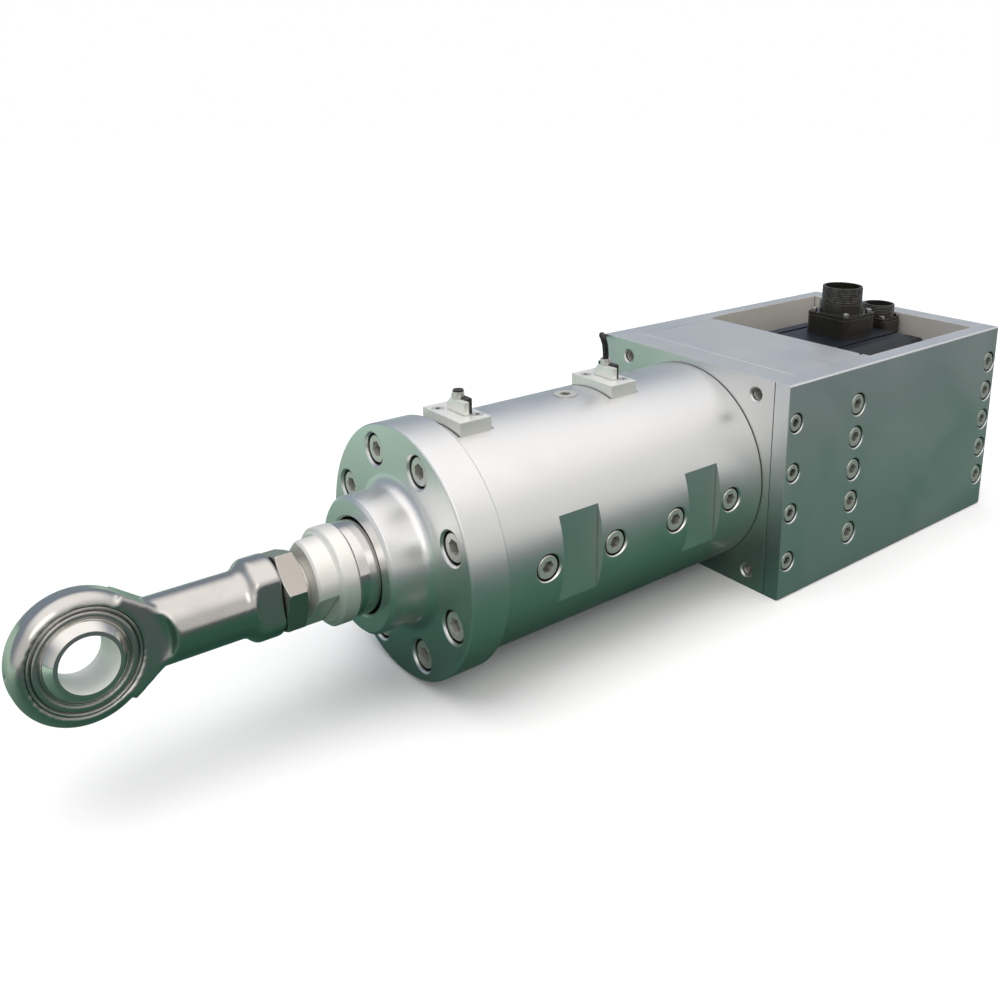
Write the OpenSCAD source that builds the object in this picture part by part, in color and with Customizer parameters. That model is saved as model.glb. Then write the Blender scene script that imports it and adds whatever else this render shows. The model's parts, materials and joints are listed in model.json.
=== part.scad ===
// Electric linear actuator: a servo motor in an open plate box turns a ball
// screw, and the screw pushes a hollow rod with a spherical rod end out of a
// turned tube. The origin is on the rod's axis at the front face of the box,
// +X is the way the rod extends, +Z is up and the box stands on its lower edges.

/* [Drive box] */
// Length of the plate box along the rod
box_l = 296; // [290:1:340]
// Width of the box over both side plates
box_w = 200; // [198:1:220]
// Height of the box
box_h = 170; // [168:1:190]
// Thickness of the front plate that carries the tube
front_plate_t = 25; // [24:1:30]
// Thickness of the plate that closes the box at the back
rear_plate_t = 20; // [18:1:24]
// Thickness of a side plate beside the open motor bay
side_t = 14; // [13:1:16]
// Extra thickness of a side plate beside the coupling room
side_step = 6; // [4:1:7]
// Thickness of the cover plates over and under the coupling room
cover_t = 8; // [6:1:9]
// Length of the coupling room between the front plate and the motor plate
coupling_room = 52; // [52:1:60]
// Thickness of the plate that carries the motor
motor_plate_t = 20; // [18:1:24]
// How far the covers reach back past the motor plate
cover_lip = 21; // [16:1:24]
// Corner radius at the open end of a cover plate
cover_corner = 6; // [3:1:10]
// Chamfer along the outer edges of the plates
plate_edge = 1; // [0.5:0.25:2]
// Spacing across the box of the tapped holes in the front plate
face_hole_y = 138; // [136:1:144]
// Spacing up the box of the tapped holes in the front plate
face_hole_z = 143; // [140:1:146]
// Diameter of the tapped holes in the front plate
face_hole_d = 10; // [8:1:12]

/* [Box screws] */
// Thread diameter of the screws into the front plate
small_d = 8; // [6:1:8]
// Thread diameter of the other box screws, the tube screws and guide screws
large_d = 10; // [8:1:10]
// Height of the outer screws of the front column
small_outer_z = 55; // [52:1:60]
// Height of the inner screws of the front column
small_inner_z = 16; // [14:1:22]
// Pitch of the five screws in the middle and rear columns
large_pitch = 27; // [25:1:28]
// Length of the box screws under the head
box_screw_l = 25; // [20:1:26]

/* [Tube] */
// Outer diameter of the tube
tube_d = 159; // [158:1:164]
// Bore of the tube
tube_bore = 120; // [118:1:121]
// Length of the tube between the front plate and the flange
tube_l = 239; // [239:1:280]
// Width of the wrench pockets along the tube
pocket_l = 33; // [26:1:34]
// Depth of the wrench pockets below the crown of the tube
pocket_depth = 5.9; // [3:0.1:6.5]
// Distance of the first guide screw from the front plate
guide_start = 34; // [32:1:36]
// Pitch of the four guide screws
guide_pitch = 57; // [56:1:58]
// Circle of the screws that pull the tube onto the front plate
tube_screw_pcd = 141; // [141:0.5:142]

/* [Front flange] */
// Diameter of the flange
flange_d = 170; // [168:1:170]
// Thickness of the flange
flange_t = 28; // [27:1:32]
// Diameter of the turned nose
nose_d = 89; // [86:1:92]
// Length of the nose in front of the flange
nose_l = 30; // [28:1:36]
// Mouth diameter of the nose round the rod
nose_mouth = 62.6; // [62.4:0.1:64]
// Radius of the fillet between nose and flange
nose_fillet = 8; // [4:1:9]
// Circle of the flange screws
flange_pcd = 136; // [136:1:138]
// Thread diameter of the flange screws
flange_screw_d = 12; // [10:1:12]

/* [Drive line] */
// Distance that the rod extends
stroke = 130; // [80:5:130]
// Diameter of the ball screw
screw_d = 40; // [36:1:40]
// Outer diameter of the two screw bearings
bearing_d = 80; // [78:1:80]
// Width of one screw bearing
bearing_w = 18; // [16:1:18]
// Number of balls in one bearing
bearing_balls = 13; // [9:1:13]
// Diameter of the jaw coupling
coupling_d = 55; // [50:1:60]
// Diameter of the ball nut's body
nut_d = 62; // [60:1:64]

/* [Rod] */
// Diameter of the piston rod
rod_d = 60; // [58:1:60]
// Bore of the piston rod round the ball screw
rod_bore = 46; // [44:1:48]
// Gap between the nose and the rod adapter when the rod is in
rod_gap = 13; // [8:1:20]
// Diameter of the adapter's collar
collar_d = 62; // [61:1:64]
// Width of the adapter's collar
collar_l = 11; // [8:1:14]
// Diameter of the adapter's boss
boss_d = 55; // [50:1:56]
// Length of the adapter's boss
boss_l = 14; // [12:1:18]
// Width across the wrench flats of adapter and rod end
flats_w = 41; // [40:1:44]
// Width across the flats of the jam nut
jam_af = 45; // [44:1:48]
// Thickness of the jam nut
jam_t = 14; // [12:1:18]
// Length of bare thread between the adapter and the jam nut
jam_gap = 4.5; // [1:0.5:8]

/* [Rod end] */
// Bore of the ball
eye_bore = 30; // [25:1:30]
// Diameter of the ball
ball_d = 50.8; // [50:0.1:51.5]
// Width of the ball
ball_w = 37; // [34:1:38]
// Outer diameter of the head
head_d = 72; // [70:1:80]
// Width of the head
head_w = 25; // [22:1:26]
// Diameter of the race pressed into the head
race_d = 57; // [56:0.5:60]
// Distance from the shoulder at the jam nut to the centre of the eye
eye_reach = 105.5; // [104:0.5:120]
// Diameter of the shank
shank_d = 40; // [38:1:42]
// Diameter of the shoulder with the wrench flats
shoulder_d = 50; // [48:1:54]
// Thread diameter between adapter and rod end
rod_thread = 30; // [24:1:30]
// Turn of the eye about the rod, as the jam nut holds it
eye_clock = 9; // [0:1:30]

/* [Motor] */
// Width and height of the motor
motor_w = 150; // [146:1:152]
// Thickness of the motor's flange
motor_flange_t = 14; // [12:1:16]
// Distance from the motor's flange to its encoder cover
motor_l = 129; // [126:1:130]
// Width of the chamfers along the motor
motor_chamfer = 32; // [28:1:34]
// Width and height of the encoder cover
encoder_w = 132; // [124:1:136]
// Diameter of the motor's shaft
motor_shaft_d = 24; // [19:1:24]
// Side of the power connector's base
power_base = 45; // [42:1:47]
// Diameter of the power connector's thread
power_thread_d = 34.9; // [31:0.1:35]
// Side of the encoder connector's base along the motor
encoder_base = 29; // [28:0.5:30]
// Diameter of the encoder connector's thread
encoder_thread_d = 28; // [25:0.5:28]

/* [Sensors] */
// Length of a sensor block along the tube
block_l = 24; // [20:1:24]
// Width of a sensor block across the tube
block_w = 44; // [40:1:48]
// Height of a sensor block
block_t = 9.4; // [8.4:0.2:12]
// Height of the flat that a sensor block sits on, above the rod's axis
seat_z = 76.4; // [75:0.1:76.8]
// Distance of the rear sensor from the front plate
rear_sensor_x = 90.3; // [88:0.1:94]
// Distance of the front sensor from the front flange
front_sensor_gap = 19.5; // [14:0.5:30]
// Diameter of the sensor cable
cable_d = 4.5; // [4:0.25:5]
// Distance of the tube's port plug from the front plate
port_x = 127; // [118:1:136]

/* [Hidden] */

// Small distances that every part shares
fit = 0.1;
press = 0.02;
running = 0.04;
over = 1;

// Planes across the rod's axis, front to back
face_x = 0;
front_back_x = face_x - front_plate_t;
motor_front_x = front_back_x - coupling_room;
motor_mount_x = motor_front_x - motor_plate_t;
cover_back_x = motor_mount_x - cover_lip;
box_back_x = face_x - box_l;
rear_inner_x = box_back_x + rear_plate_t;
flange_back_x = tube_l;
flange_face_x = flange_back_x + flange_t;
nose_face_x = flange_face_x + nose_l;

// Half widths of the box
half_w = box_w / 2;
half_h = box_h / 2;
bay_y = half_w - side_t;
room_y = bay_y - side_step;
cover_z = half_h - cover_t;
cover_gap = 0.4;
tube_edge = 0.8;
seam_edge = 0.7;

// Columns of box screws
front_column_x = -10;
middle_column_x = motor_front_x - motor_plate_t / 2;
rear_column_x = box_back_x + rear_plate_t / 2;
front_column = [-small_outer_z, -small_inner_z, small_inner_z, small_outer_z];
large_column = [-2 * large_pitch, -large_pitch, 0, large_pitch, 2 * large_pitch];

// Front plate bores from the tube's recess back to the bearing housing
recess_d = tube_bore + 10;
recess_depth = 4;
lip_bore = bearing_d - 14;
bearing_front_x = -10;
housing_spigot_d = bearing_d + 10;
housing_flange_d = bearing_d + 38;
housing_flange_t = 12;
housing_pcd = bearing_d + 24;
housing_body_d = bearing_d + 8;
bearing_back_x = bearing_front_x - 2 * bearing_w;
housing_back_x = bearing_back_x - 10;

// Bearing section
bearing_bore = screw_d;
bearing_ball_d = 12;
bearing_pitch_r = (bearing_d + bearing_bore) / 4;

// Coupling
lock_nut_l = 11.8;
lock_nut_d = lip_bore - 8;
screw_tail_d = 25;
hub_screw_x = bearing_back_x - lock_nut_l - 1.5;
jaw_l = 9;
jaw_inner_r = 14;
hub_screw_l = 13;
hub_motor_l = 12;
jaw_front_x = hub_screw_x - hub_screw_l;
jaw_back_x = jaw_front_x - jaw_l - 1;
coupling_bore_r = coupling_d / 2 + 12.5;
motor_pilot_d = 110;
motor_pilot_l = 6;

// Ball nut and carriage
nut_start_x = 14;
nut_flange_t = 12;
carriage_x = nut_start_x + nut_flange_t;
carriage_l = 66;
carriage_d = tube_bore - 0.6;
nut_flange_d = nut_d + 28;
nut_pcd = nut_d + 14;
nut_end_x = carriage_x + 46;
rod_start_x = nut_end_x;
key_w = 20;
key_inner_y = tube_bore / 2 - 8;
key_outer_y = tube_bore / 2 + 4.4;
key_start_x = 17;
guide_screw_l = 14;
nut_screw_d = 6;
nut_screw_l = nut_flange_t + 14;
waist_d = carriage_d - 36;
key_end_x = tube_l - 16;

// Front flange from the inside out
spigot_l = 14;
bush_d = rod_d + 10;
bush_end_x = nose_face_x - 20;
wiper_d = rod_d + 12;
wiper_start_x = nose_face_x - 16;
wiper_end_x = nose_face_x - 8;
lip_l = 3;
mouth_edge = 1.4;
flange_edge = 1;
flange_bore_depth = flange_screw_d + 2;

// Rod, adapter and rod end
rod_end_x = nose_face_x + rod_gap;
adapter_x = rod_end_x + collar_l;
boss_x = adapter_x + boss_l;
jam_x = boss_x + jam_gap;
shoulder_x = jam_x + jam_t;
eye_x = shoulder_x + eye_reach;
adapter_clock = -42;
jam_clock = -13;
jam_edge = 1.8;
screw_tip_x = stroke + 85;
rod_stud_d = 36;

// Motor
motor_back_x = motor_mount_x - motor_flange_t;
encoder_front_x = motor_back_x - motor_l;
encoder_back_x = rear_inner_x + 2.5;
motor_screw_at = 58.3;
motor_groove_y = 32;
motor_half = motor_w / 2;
corner_face = (motor_w - motor_chamfer) / sqrt(2);
power_x = -199;
power_z = motor_half;
power_base_h = 17;
power_screw_d = 3;
power_collar = 3.8;
power_screw_at = power_base / 2 - 5.5;
encoder_x = -259;
encoder_z = encoder_w / 2;
encoder_base_h = 14;
encoder_screw_d = 2.5;
encoder_screw_at = encoder_base / 2 - 2.4;
connector_foot_t = 3;

// Sensors
sensor_xs = [rear_sensor_x, flange_back_x - front_sensor_gap];
block_top_z = seat_z + block_t;
seat_back = 3;
block_screw_d = 5;
block_screw_l = 18;
block_screw_head_d = 8.4;
block_screws = [[-7.4, 13], [6, -13.2]];
fin_front = 2;
fin_t = 3.5;
fin_h = 9;
fin_side_y = [-8, 12.4];
switch_t = 4.2;
switch_side_y = [-8, 9.6];
switch_h = 10.2;
gland_d = 8;
gland_h = 3.4;
gland_x = -1.6;
stem_x = fin_front - fin_t - switch_t / 2;
stem_d = 8;
gland_z = block_top_z + switch_h;
cable_exit_z = gland_z + gland_h;

// Route of the sensor cable from the gland over the far side down to the coil
cable_route = [
    [rear_sensor_x + gland_x, 0, cable_exit_z], [88.9, 0, 105], [89.6, 0, 110], [90.8, -0.2, 114],
    [90.6, -2.2, 116.6], [84.4, -9.3, 114.4], [73, -21.8, 110], [53.6, -43.4, 102.7], [34.2, -65, 95.6],
    [18.2, -83, 89.8], [8.8, -93.8, 86.1], [3.1, -100.3, 83.8], [-2.3, -105.6, 81.4], [-9, -109.6, 78],
    [-14, -113, 70], [-17, -116, 58], [-18.6, -117.6, 40], [-19, -118, 18], [-19, -118, -20],
    [-20, -118, -52], [-23, -119, -68], [-31, -121, -78], [-44, -125, -82], [-60, -129, -82.4],
    [-74, -132, -82.4], [-90, -133, -82.4]
];
plug_route = [
    [-90, -133, -77.8], [-104, -133, -77.8], [-118, -133, -79], [-134, -132, -81], [-150, -131, -81],
    [-166, -130, -80]
];
cable_pitch = 4.6;
coil_turn_d = 54;
coil_rows = 5;
coil_layers = 2;
coil_width = coil_rows * cable_pitch + 0.2;
coil_height = coil_layers * cable_pitch + 0.6;
coil_centre = [-90, -133 - coil_turn_d / 2 - cable_pitch * (coil_rows - 1) / 2, -85 + coil_height / 2];
plug_d = 10;
plug_l = 34;
cable_sides = 12;

// Direction that the cord never runs along, from which its rings are turned
cord_reference = [1, -1, 0];

// Colours as the photograph shows them
satin = [0.82, 0.82, 0.83];
bright = [0.88, 0.88, 0.9];
steel = [0.62, 0.6, 0.57];
black = [0.11, 0.11, 0.11];
raw = [0.7, 0.68, 0.64];
bronze = [0.72, 0.55, 0.3];

// Cylinder along the rod's axis from x0 to x1
module bar(x0, x1, d) {
    translate([x0, 0, 0]) rotate([0, 90, 0]) cylinder(h = x1 - x0, d = d);
}

// Cone along the rod's axis from diameter d0 at x0 to d1 at x1
module taper(x0, x1, d0, d1) {
    translate([x0, 0, 0]) rotate([0, 90, 0]) cylinder(h = x1 - x0, d1 = d0, d2 = d1);
}

// Solid of revolution about the rod's axis, its children drawn as radius and X
module turned() {
    rotate([0, 90, 0]) rotate_extrude() children();
}

// Copies a child round the rod's axis
module around(count, radius, start = 0) {
    for (i = [0 : count - 1])
        rotate([start + i * 360 / count, 0, 0])
            translate([0, radius, 0]) children();
}

// Block between two corners
module block(a, b) {
    translate(a) cube(b - a);
}

// Head sizes of a socket screw by its thread
function socket_head_d(d) = 1.5 * d + 1;
function socket_head_h(d) = d;
function counterbore_d(d) = socket_head_d(d) + 2.4;
function counterbore_depth(d) = d + 0.8;

// Socket screw that points down, its head's seat at the origin
module socket_screw(d, l) {
    difference() {
        union() {
            cylinder(h = socket_head_h(d) - 0.06 * d, d = socket_head_d(d));
            translate([0, 0, socket_head_h(d) - 0.06 * d])
                cylinder(h = 0.06 * d, d1 = socket_head_d(d), d2 = socket_head_d(d) - 0.12 * d);
            translate([0, 0, -l]) cylinder(h = l + 0.1, d = d);
        }
        translate([0, 0, socket_head_h(d) * 0.45]) cylinder(h = d, d = d * 0.92, $fn = 6);
    }
}

// Counterbore and hole for a socket screw that points down, its mouth at z = top
module screw_cut(d, l, top, rim = 0.6) {
    translate([0, 0, -l - over]) cylinder(h = l + over + 0.1, d = d + 2 * fit);
    cylinder(h = top + over, d = counterbore_d(d));
    translate([0, 0, top - rim])
        cylinder(h = rim + over, d1 = counterbore_d(d), d2 = counterbore_d(d) + 2 * (rim + over));
}

// Places a child that points down so that it points inward through a side plate
module on_side(side, x, z, depth) {
    translate([x, side * (half_w - depth), z]) rotate([-side * 90, 0, 0]) children();
}

// Flat square with round corners
module round_square(w, h, r) {
    square([w - 2 * r, h], center = true);
    square([w, h - 2 * r], center = true);
    for (sx = [-1, 1], sy = [-1, 1])
        translate([sx * (w / 2 - r), sy * (h / 2 - r)]) circle(r = r);
}

// Outline of a side plate seen along the rod, with chamfered outer edges
module side_section() {
    polygon([
        [bay_y, -half_h], [half_w - plate_edge, -half_h], [half_w, -half_h + plate_edge],
        [half_w, half_h - plate_edge], [half_w - plate_edge, half_h], [bay_y, half_h]
    ]);
}

// Side plate, stepped inward beside the coupling room
module side_plate(side) {
    difference() {
        union() {
            mirror([0, side < 0 ? 1 : 0, 0])
                translate([box_back_x, 0, 0]) rotate([90, 0, 90])
                    linear_extrude(box_l) side_section();
            mirror([0, side < 0 ? 1 : 0, 0])
                block([cover_back_x, room_y, -half_h], [front_back_x, bay_y + 0.5, half_h]);
        }
        translate([face_x, side * bay_y, 0]) rotate([0, 0, 45])
            cube([seam_edge * sqrt(2), seam_edge * sqrt(2), 2 * box_h], center = true);
        for (z = front_column)
            on_side(side, front_column_x, z, counterbore_depth(small_d))
                screw_cut(small_d, side_t, counterbore_depth(small_d));
        for (z = large_column)
            on_side(side, middle_column_x, z, counterbore_depth(large_d))
                screw_cut(large_d, side_t + side_step, counterbore_depth(large_d));
        for (z = large_column)
            on_side(side, rear_column_x, z, counterbore_depth(large_d))
                screw_cut(large_d, side_t, counterbore_depth(large_d));
    }
}

module side_plate_left() { color(satin) side_plate(1); }
module side_plate_right() { color(satin) side_plate(-1); }

// Screws of the front column on both sides
module front_column_screws() {
    color(bright)
        for (side = [-1, 1], z = front_column)
            on_side(side, front_column_x, z, counterbore_depth(small_d)) socket_screw(small_d, box_screw_l);
}

// Screws of the middle and rear columns on both sides
module box_screws() {
    color(bright)
        for (side = [-1, 1], x = [middle_column_x, rear_column_x], z = large_column)
            on_side(side, x, z, counterbore_depth(large_d)) socket_screw(large_d, box_screw_l);
}

// Blank tapped holes that box screws enter from both sides
module side_holes(x, column, d) {
    for (side = [-1, 1], z = column)
        on_side(side, x, z, counterbore_depth(d))
            translate([0, 0, -box_screw_l - over]) cylinder(h = box_screw_l + 2 * over, d = d + 2 * fit);
}

// Front plate with the tube's recess, the bearing bore and the screw holes
module front_plate() {
    color(satin)
        difference() {
            block([front_back_x, -bay_y, -half_h], [face_x, bay_y, half_h]);
            bar(-recess_depth, over, recess_d + 2 * fit);
            bar(bearing_front_x - over, over, lip_bore);
            bar(front_back_x - over, bearing_front_x, housing_spigot_d + 2 * fit);
            for (sy = [-1, 1], sz = [-1, 1])
                translate([0, sy * face_hole_y / 2, sz * face_hole_z / 2]) {
                    bar(front_back_x - over, over, face_hole_d);
                    taper(-1.2, over, face_hole_d, face_hole_d + 4.4);
                }
            around(8, tube_screw_pcd / 2) {
                bar(front_back_x - over, over, large_d + 2 * fit);
                bar(front_back_x - over, front_back_x + counterbore_depth(large_d), counterbore_d(large_d));
            }
            around(8, housing_pcd / 2) bar(front_back_x - over, -8, small_d + 2 * fit);
            side_holes(front_column_x, front_column, small_d);
        }
}

// Plate that carries the motor, open in the middle for the coupling
module motor_plate() {
    color(satin)
        difference() {
            block([motor_mount_x, -room_y, -cover_z], [motor_front_x, room_y, cover_z]);
            bar(motor_mount_x - over, motor_front_x + over, 2 * coupling_bore_r);
            bar(motor_mount_x - over, motor_mount_x + motor_pilot_l, motor_pilot_d + 2 * fit);
            motor_corners() bar(motor_mount_x - over, motor_front_x + over, large_d + 2 * fit);
            side_holes(middle_column_x, large_column, large_d);
        }
}

// Plate that closes the box at the back
module rear_plate() {
    color(satin)
        difference() {
            block([box_back_x, -bay_y, -half_h], [rear_inner_x, bay_y, half_h]);
            side_holes(rear_column_x, large_column, large_d);
        }
}

// Cover plate over the coupling room, round at the corners by the motor bay
module cover() {
    cover_l = front_back_x - fit - cover_back_x;
    difference() {
        translate([0, 0, cover_z])
            linear_extrude(cover_t - 0.2)
                difference() {
                    translate([cover_back_x, -room_y + cover_gap])
                        square([cover_l, 2 * (room_y - cover_gap)]);
                    for (side = [-1, 1])
                        translate([cover_back_x, side * (room_y - cover_gap)])
                            difference() {
                                square(2 * cover_corner, center = true);
                                translate([cover_corner, -side * cover_corner]) circle(r = cover_corner);
                            }
                }
        translate([front_back_x - fit, 0, half_h - 0.2]) rotate([0, 45, 0])
            cube([1.6, box_w, 1.6], center = true);
    }
}

module top_cover() { color(satin) cover(); }
module bottom_cover() { color(satin) mirror([0, 0, 1]) cover(); }

// Wrench pockets and sensor seats are cut from the turned tube
module tube() {
    crown_y = tube_d / 2 - pocket_depth;
    pocket_mid = [guide_start + guide_pitch / 2, guide_start + 2.5 * guide_pitch];
    color(satin)
        difference() {
            union() {
                bar(tube_edge, tube_l, tube_d);
                taper(0, tube_edge + 0.01, tube_d - 2 * tube_edge, tube_d + 0.02);
                bar(-recess_depth + fit, over, recess_d);
            }
            bar(-recess_depth - over, tube_l + over, tube_bore);
            for (x = pocket_mid, side = [-1, 1])
                block([x - pocket_l / 2, side > 0 ? crown_y : -tube_d, -tube_d],
                      [x + pocket_l / 2, side > 0 ? tube_d : -crown_y, tube_d]);
            for (x = sensor_xs) {
                block([x - block_l / 2 - seat_back, -tube_d, seat_z], [x + block_l / 2 + 1, tube_d, tube_d]);
                translate([x + stem_x, 0, 0]) cylinder(h = tube_d, d = 13);
                for (at = block_screws)
                    translate([x + at[0], at[1], block_top_z - block_screw_l - 2])
                        cylinder(h = tube_d, d = block_screw_d + 2 * fit);
            }
            block([key_start_x - over, 0, -key_w / 2 - fit],
                  [key_end_x + over, key_outer_y + fit, key_w / 2 + fit]);
            guide_screw_places() screw_cut(large_d, 20, counterbore_depth(large_d), 0.8);
            translate([port_x, 0, 0]) {
                cylinder(h = tube_d, d = 12);
                translate([0, 0, tube_d / 2 - 7]) cylinder(h = tube_d, d = 17);
            }
            around(8, tube_screw_pcd / 2) bar(-over, 22, large_d + 2 * fit);
            around(8, flange_pcd / 2, 22.5) bar(tube_l - 30, tube_l + over, flange_screw_d + 2 * fit);
        }
}

// Screws through the front plate into the tube
module tube_screws() {
    color(bright)
        around(8, tube_screw_pcd / 2)
            translate([front_back_x + counterbore_depth(large_d), 0, 0]) rotate([0, -90, 0])
                socket_screw(large_d, front_plate_t - counterbore_depth(large_d) + 20);
}

// Places of the four screws through the left side of the tube
module guide_screw_places() {
    for (i = [0 : 3])
        translate([guide_start + i * guide_pitch, tube_d / 2 - counterbore_depth(large_d) - 0.6, 0])
            rotate([-90, 0, 0]) children();
}

// Key inside the tube that keeps the carriage from turning
module guide_key() {
    color(steel)
        difference() {
            block([key_start_x, key_inner_y, -key_w / 2], [key_end_x, key_outer_y, key_w / 2]);
            guide_screw_places() translate([0, 0, -20]) cylinder(h = 40, d = large_d + 2 * fit);
        }
}

module guide_screws() {
    color(bright) guide_screw_places() socket_screw(large_d, guide_screw_l);
}

// Plug in the tube's port, with a hexagon socket
module port_plug() {
    plug_top = tube_d / 2 + 0.5;
    color(bright)
        translate([port_x, 0, 0])
            difference() {
                union() {
                    translate([0, 0, tube_d / 2 - 6.9]) cylinder(h = plug_top - tube_d / 2 + 6.9, d = 16.6);
                    translate([0, 0, tube_bore / 2 + 2]) cylinder(h = 12, d = 11.8);
                }
                translate([0, 0, plug_top - 4]) cylinder(h = 5, d = 8, $fn = 6);
            }
}

// Section of the turned flange and nose as radius and X
module flange_section() {
    nose_r = nose_d / 2;
    rim = flange_edge;
    difference() {
        union() {
            polygon([
                [0, flange_back_x - spigot_l], [tube_bore / 2 - fit, flange_back_x - spigot_l],
                [tube_bore / 2 - fit, flange_back_x], [flange_d / 2 - rim, flange_back_x],
                [flange_d / 2, flange_back_x + rim], [flange_d / 2, flange_face_x - rim],
                [flange_d / 2 - rim, flange_face_x], [nose_r, flange_face_x],
                [nose_r, nose_face_x - 2], [nose_r - 2, nose_face_x], [0, nose_face_x]
            ]);
            difference() {
                translate([nose_r - over, flange_face_x - over])
                    square([nose_fillet + over, nose_fillet + over]);
                translate([nose_r + nose_fillet, flange_face_x + nose_fillet]) circle(r = nose_fillet);
            }
        }
        translate([-over, flange_back_x - spigot_l - over])
            square([bush_d / 2 + over, bush_end_x - flange_back_x + spigot_l + over]);
        translate([-over, 0]) square([rod_d / 2 + 0.5 + over, 2 * nose_face_x]);
        translate([-over, wiper_start_x]) square([wiper_d / 2 + over, wiper_end_x - wiper_start_x]);
        translate([-over, wiper_end_x - over]) square([nose_mouth / 2 + over, 20]);
        polygon([
            [nose_mouth / 2 - over, nose_face_x - mouth_edge - over],
            [nose_mouth / 2 + mouth_edge + over, nose_face_x + over],
            [nose_mouth / 2 - over, nose_face_x + over]
        ]);
    }
}

// Front flange with its nose and eight counterbores
module front_flange() {
    color(satin)
        difference() {
            turned() flange_section();
            flange_screw_places() screw_cut(flange_screw_d, flange_t, flange_bore_depth, 1.2);
        }
}

module flange_screw_places() {
    around(8, flange_pcd / 2, 22.5)
        translate([flange_face_x - flange_bore_depth, 0, 0]) rotate([0, 90, 0]) children();
}

module flange_screws() {
    color(bright) flange_screw_places() socket_screw(flange_screw_d, flange_t + 10);
}

// Plain bush that guides the rod
module guide_bush() {
    color(bronze)
        difference() {
            bar(flange_back_x - spigot_l + over, bush_end_x - fit, bush_d - 2 * press);
            bar(flange_back_x - spigot_l, bush_end_x + over, rod_d + 2 * running);
        }
}

// Wiper with a raised lip that keeps dirt off the rod
module rod_wiper() {
    lip_r = rod_d / 2 + 0.3;
    color(black)
        turned()
            polygon([
                [lip_r, wiper_start_x + fit], [wiper_d / 2 - fit, wiper_start_x + fit],
                [wiper_d / 2 - fit, wiper_end_x - fit], [nose_mouth / 2 - 0.2, wiper_end_x - fit],
                [nose_mouth / 2 - 0.4, wiper_end_x + lip_l], [lip_r, wiper_end_x + lip_l]
            ]);
}

// Housing for the screw's bearings, flanged to the back of the front plate
module bearing_housing() {
    color(steel)
        difference() {
            union() {
                bar(front_back_x - fit, bearing_front_x - fit, housing_spigot_d);
                bar(front_back_x - housing_flange_t, front_back_x, housing_flange_d);
                bar(housing_back_x, front_back_x - over, housing_body_d);
            }
            bar(bearing_back_x, over, bearing_d + 2 * press);
            bar(housing_back_x - over, over, lip_bore);
            around(8, housing_pcd / 2) bar(front_back_x - 30, over, small_d + 2 * fit);
        }
}

module housing_screws() {
    color(bright)
        around(8, housing_pcd / 2)
            translate([front_back_x - housing_flange_t, 0, 0]) rotate([0, -90, 0])
                socket_screw(small_d, housing_flange_t + 14);
}

// Two bearings side by side, each a child at its own place
module bearing_places() {
    for (i = [0, 1])
        translate([bearing_back_x + (i + 0.5) * bearing_w, 0, 0]) children();
}

// One bearing ring with a groove for the balls
module bearing_ring(r_in, r_out) {
    difference() {
        turned() translate([r_in, -bearing_w / 2]) square([r_out - r_in, bearing_w]);
        turned() translate([bearing_pitch_r, 0]) circle(d = bearing_ball_d + 2 * running);
    }
}

module bearing_outer_rings() {
    color(steel) bearing_places() bearing_ring(bearing_pitch_r + 4, bearing_d / 2);
}

module bearing_inner_rings() {
    color(steel) bearing_places() bearing_ring(bearing_bore / 2, bearing_pitch_r - 4);
}

module bearing_balls_set() {
    color(bright) bearing_places() around(bearing_balls, bearing_pitch_r) sphere(d = bearing_ball_d);
}

// Ball screw with its journal, shoulder and coupling end
module ball_screw() {
    color(steel)
        union() {
            bar(screw_tip_x - 2, screw_tip_x, screw_d - 4);
            bar(bearing_front_x + 14, screw_tip_x - 2 + 0.01, screw_d);
            bar(bearing_front_x + 0.01, bearing_front_x + 14, screw_d + 10);
            bar(bearing_back_x - lock_nut_l - 0.5, bearing_front_x + 0.02, screw_d - 2 * press);
            bar(jaw_front_x - 0.5, bearing_back_x - lock_nut_l, screw_tail_d);
        }
}

// Slotted nut that clamps the inner rings
module lock_nut() {
    color(steel)
        difference() {
            bar(bearing_back_x - lock_nut_l, bearing_back_x, lock_nut_d);
            bar(bearing_back_x - lock_nut_l - over, bearing_back_x + over, screw_d);
            around(4, lock_nut_d / 2)
                block([bearing_back_x - lock_nut_l - over, -3, -3], [bearing_back_x + over, 3, 3]);
        }
}

// Flat sectors round a centre, from radius r0 to r1
module sectors(count, half_angle, r0, r1) {
    reach = 2 * r1;
    difference() {
        intersection() {
            circle(r = r1);
            for (i = [0 : count - 1])
                rotate(i * 360 / count)
                    polygon([
                        [0, 0], [reach * cos(half_angle), -reach * sin(half_angle)],
                        [reach * cos(half_angle), reach * sin(half_angle)]
                    ]);
        }
        circle(r = r0);
    }
}

// Three jaws on a hub's face
module jaws(x, start) {
    translate([x, 0, 0]) rotate([start, 0, 0]) rotate([0, 90, 0])
        linear_extrude(jaw_l) sectors(3, 17, jaw_inner_r, coupling_d / 2 - 0.5);
}

module coupling_hub_screw() {
    color(satin)
        union() {
            difference() {
                bar(jaw_front_x, hub_screw_x, coupling_d);
                bar(jaw_front_x - over, hub_screw_x + over, screw_tail_d + 2 * press);
            }
            jaws(jaw_front_x - jaw_l + 0.1, 0);
        }
}

module coupling_hub_motor() {
    color(satin)
        union() {
            difference() {
                bar(jaw_back_x - hub_motor_l, jaw_back_x, coupling_d);
                bar(jaw_back_x - hub_motor_l - over, jaw_back_x + over, motor_shaft_d + 2 * press);
            }
            jaws(jaw_back_x - 0.1, 60);
        }
}

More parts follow.
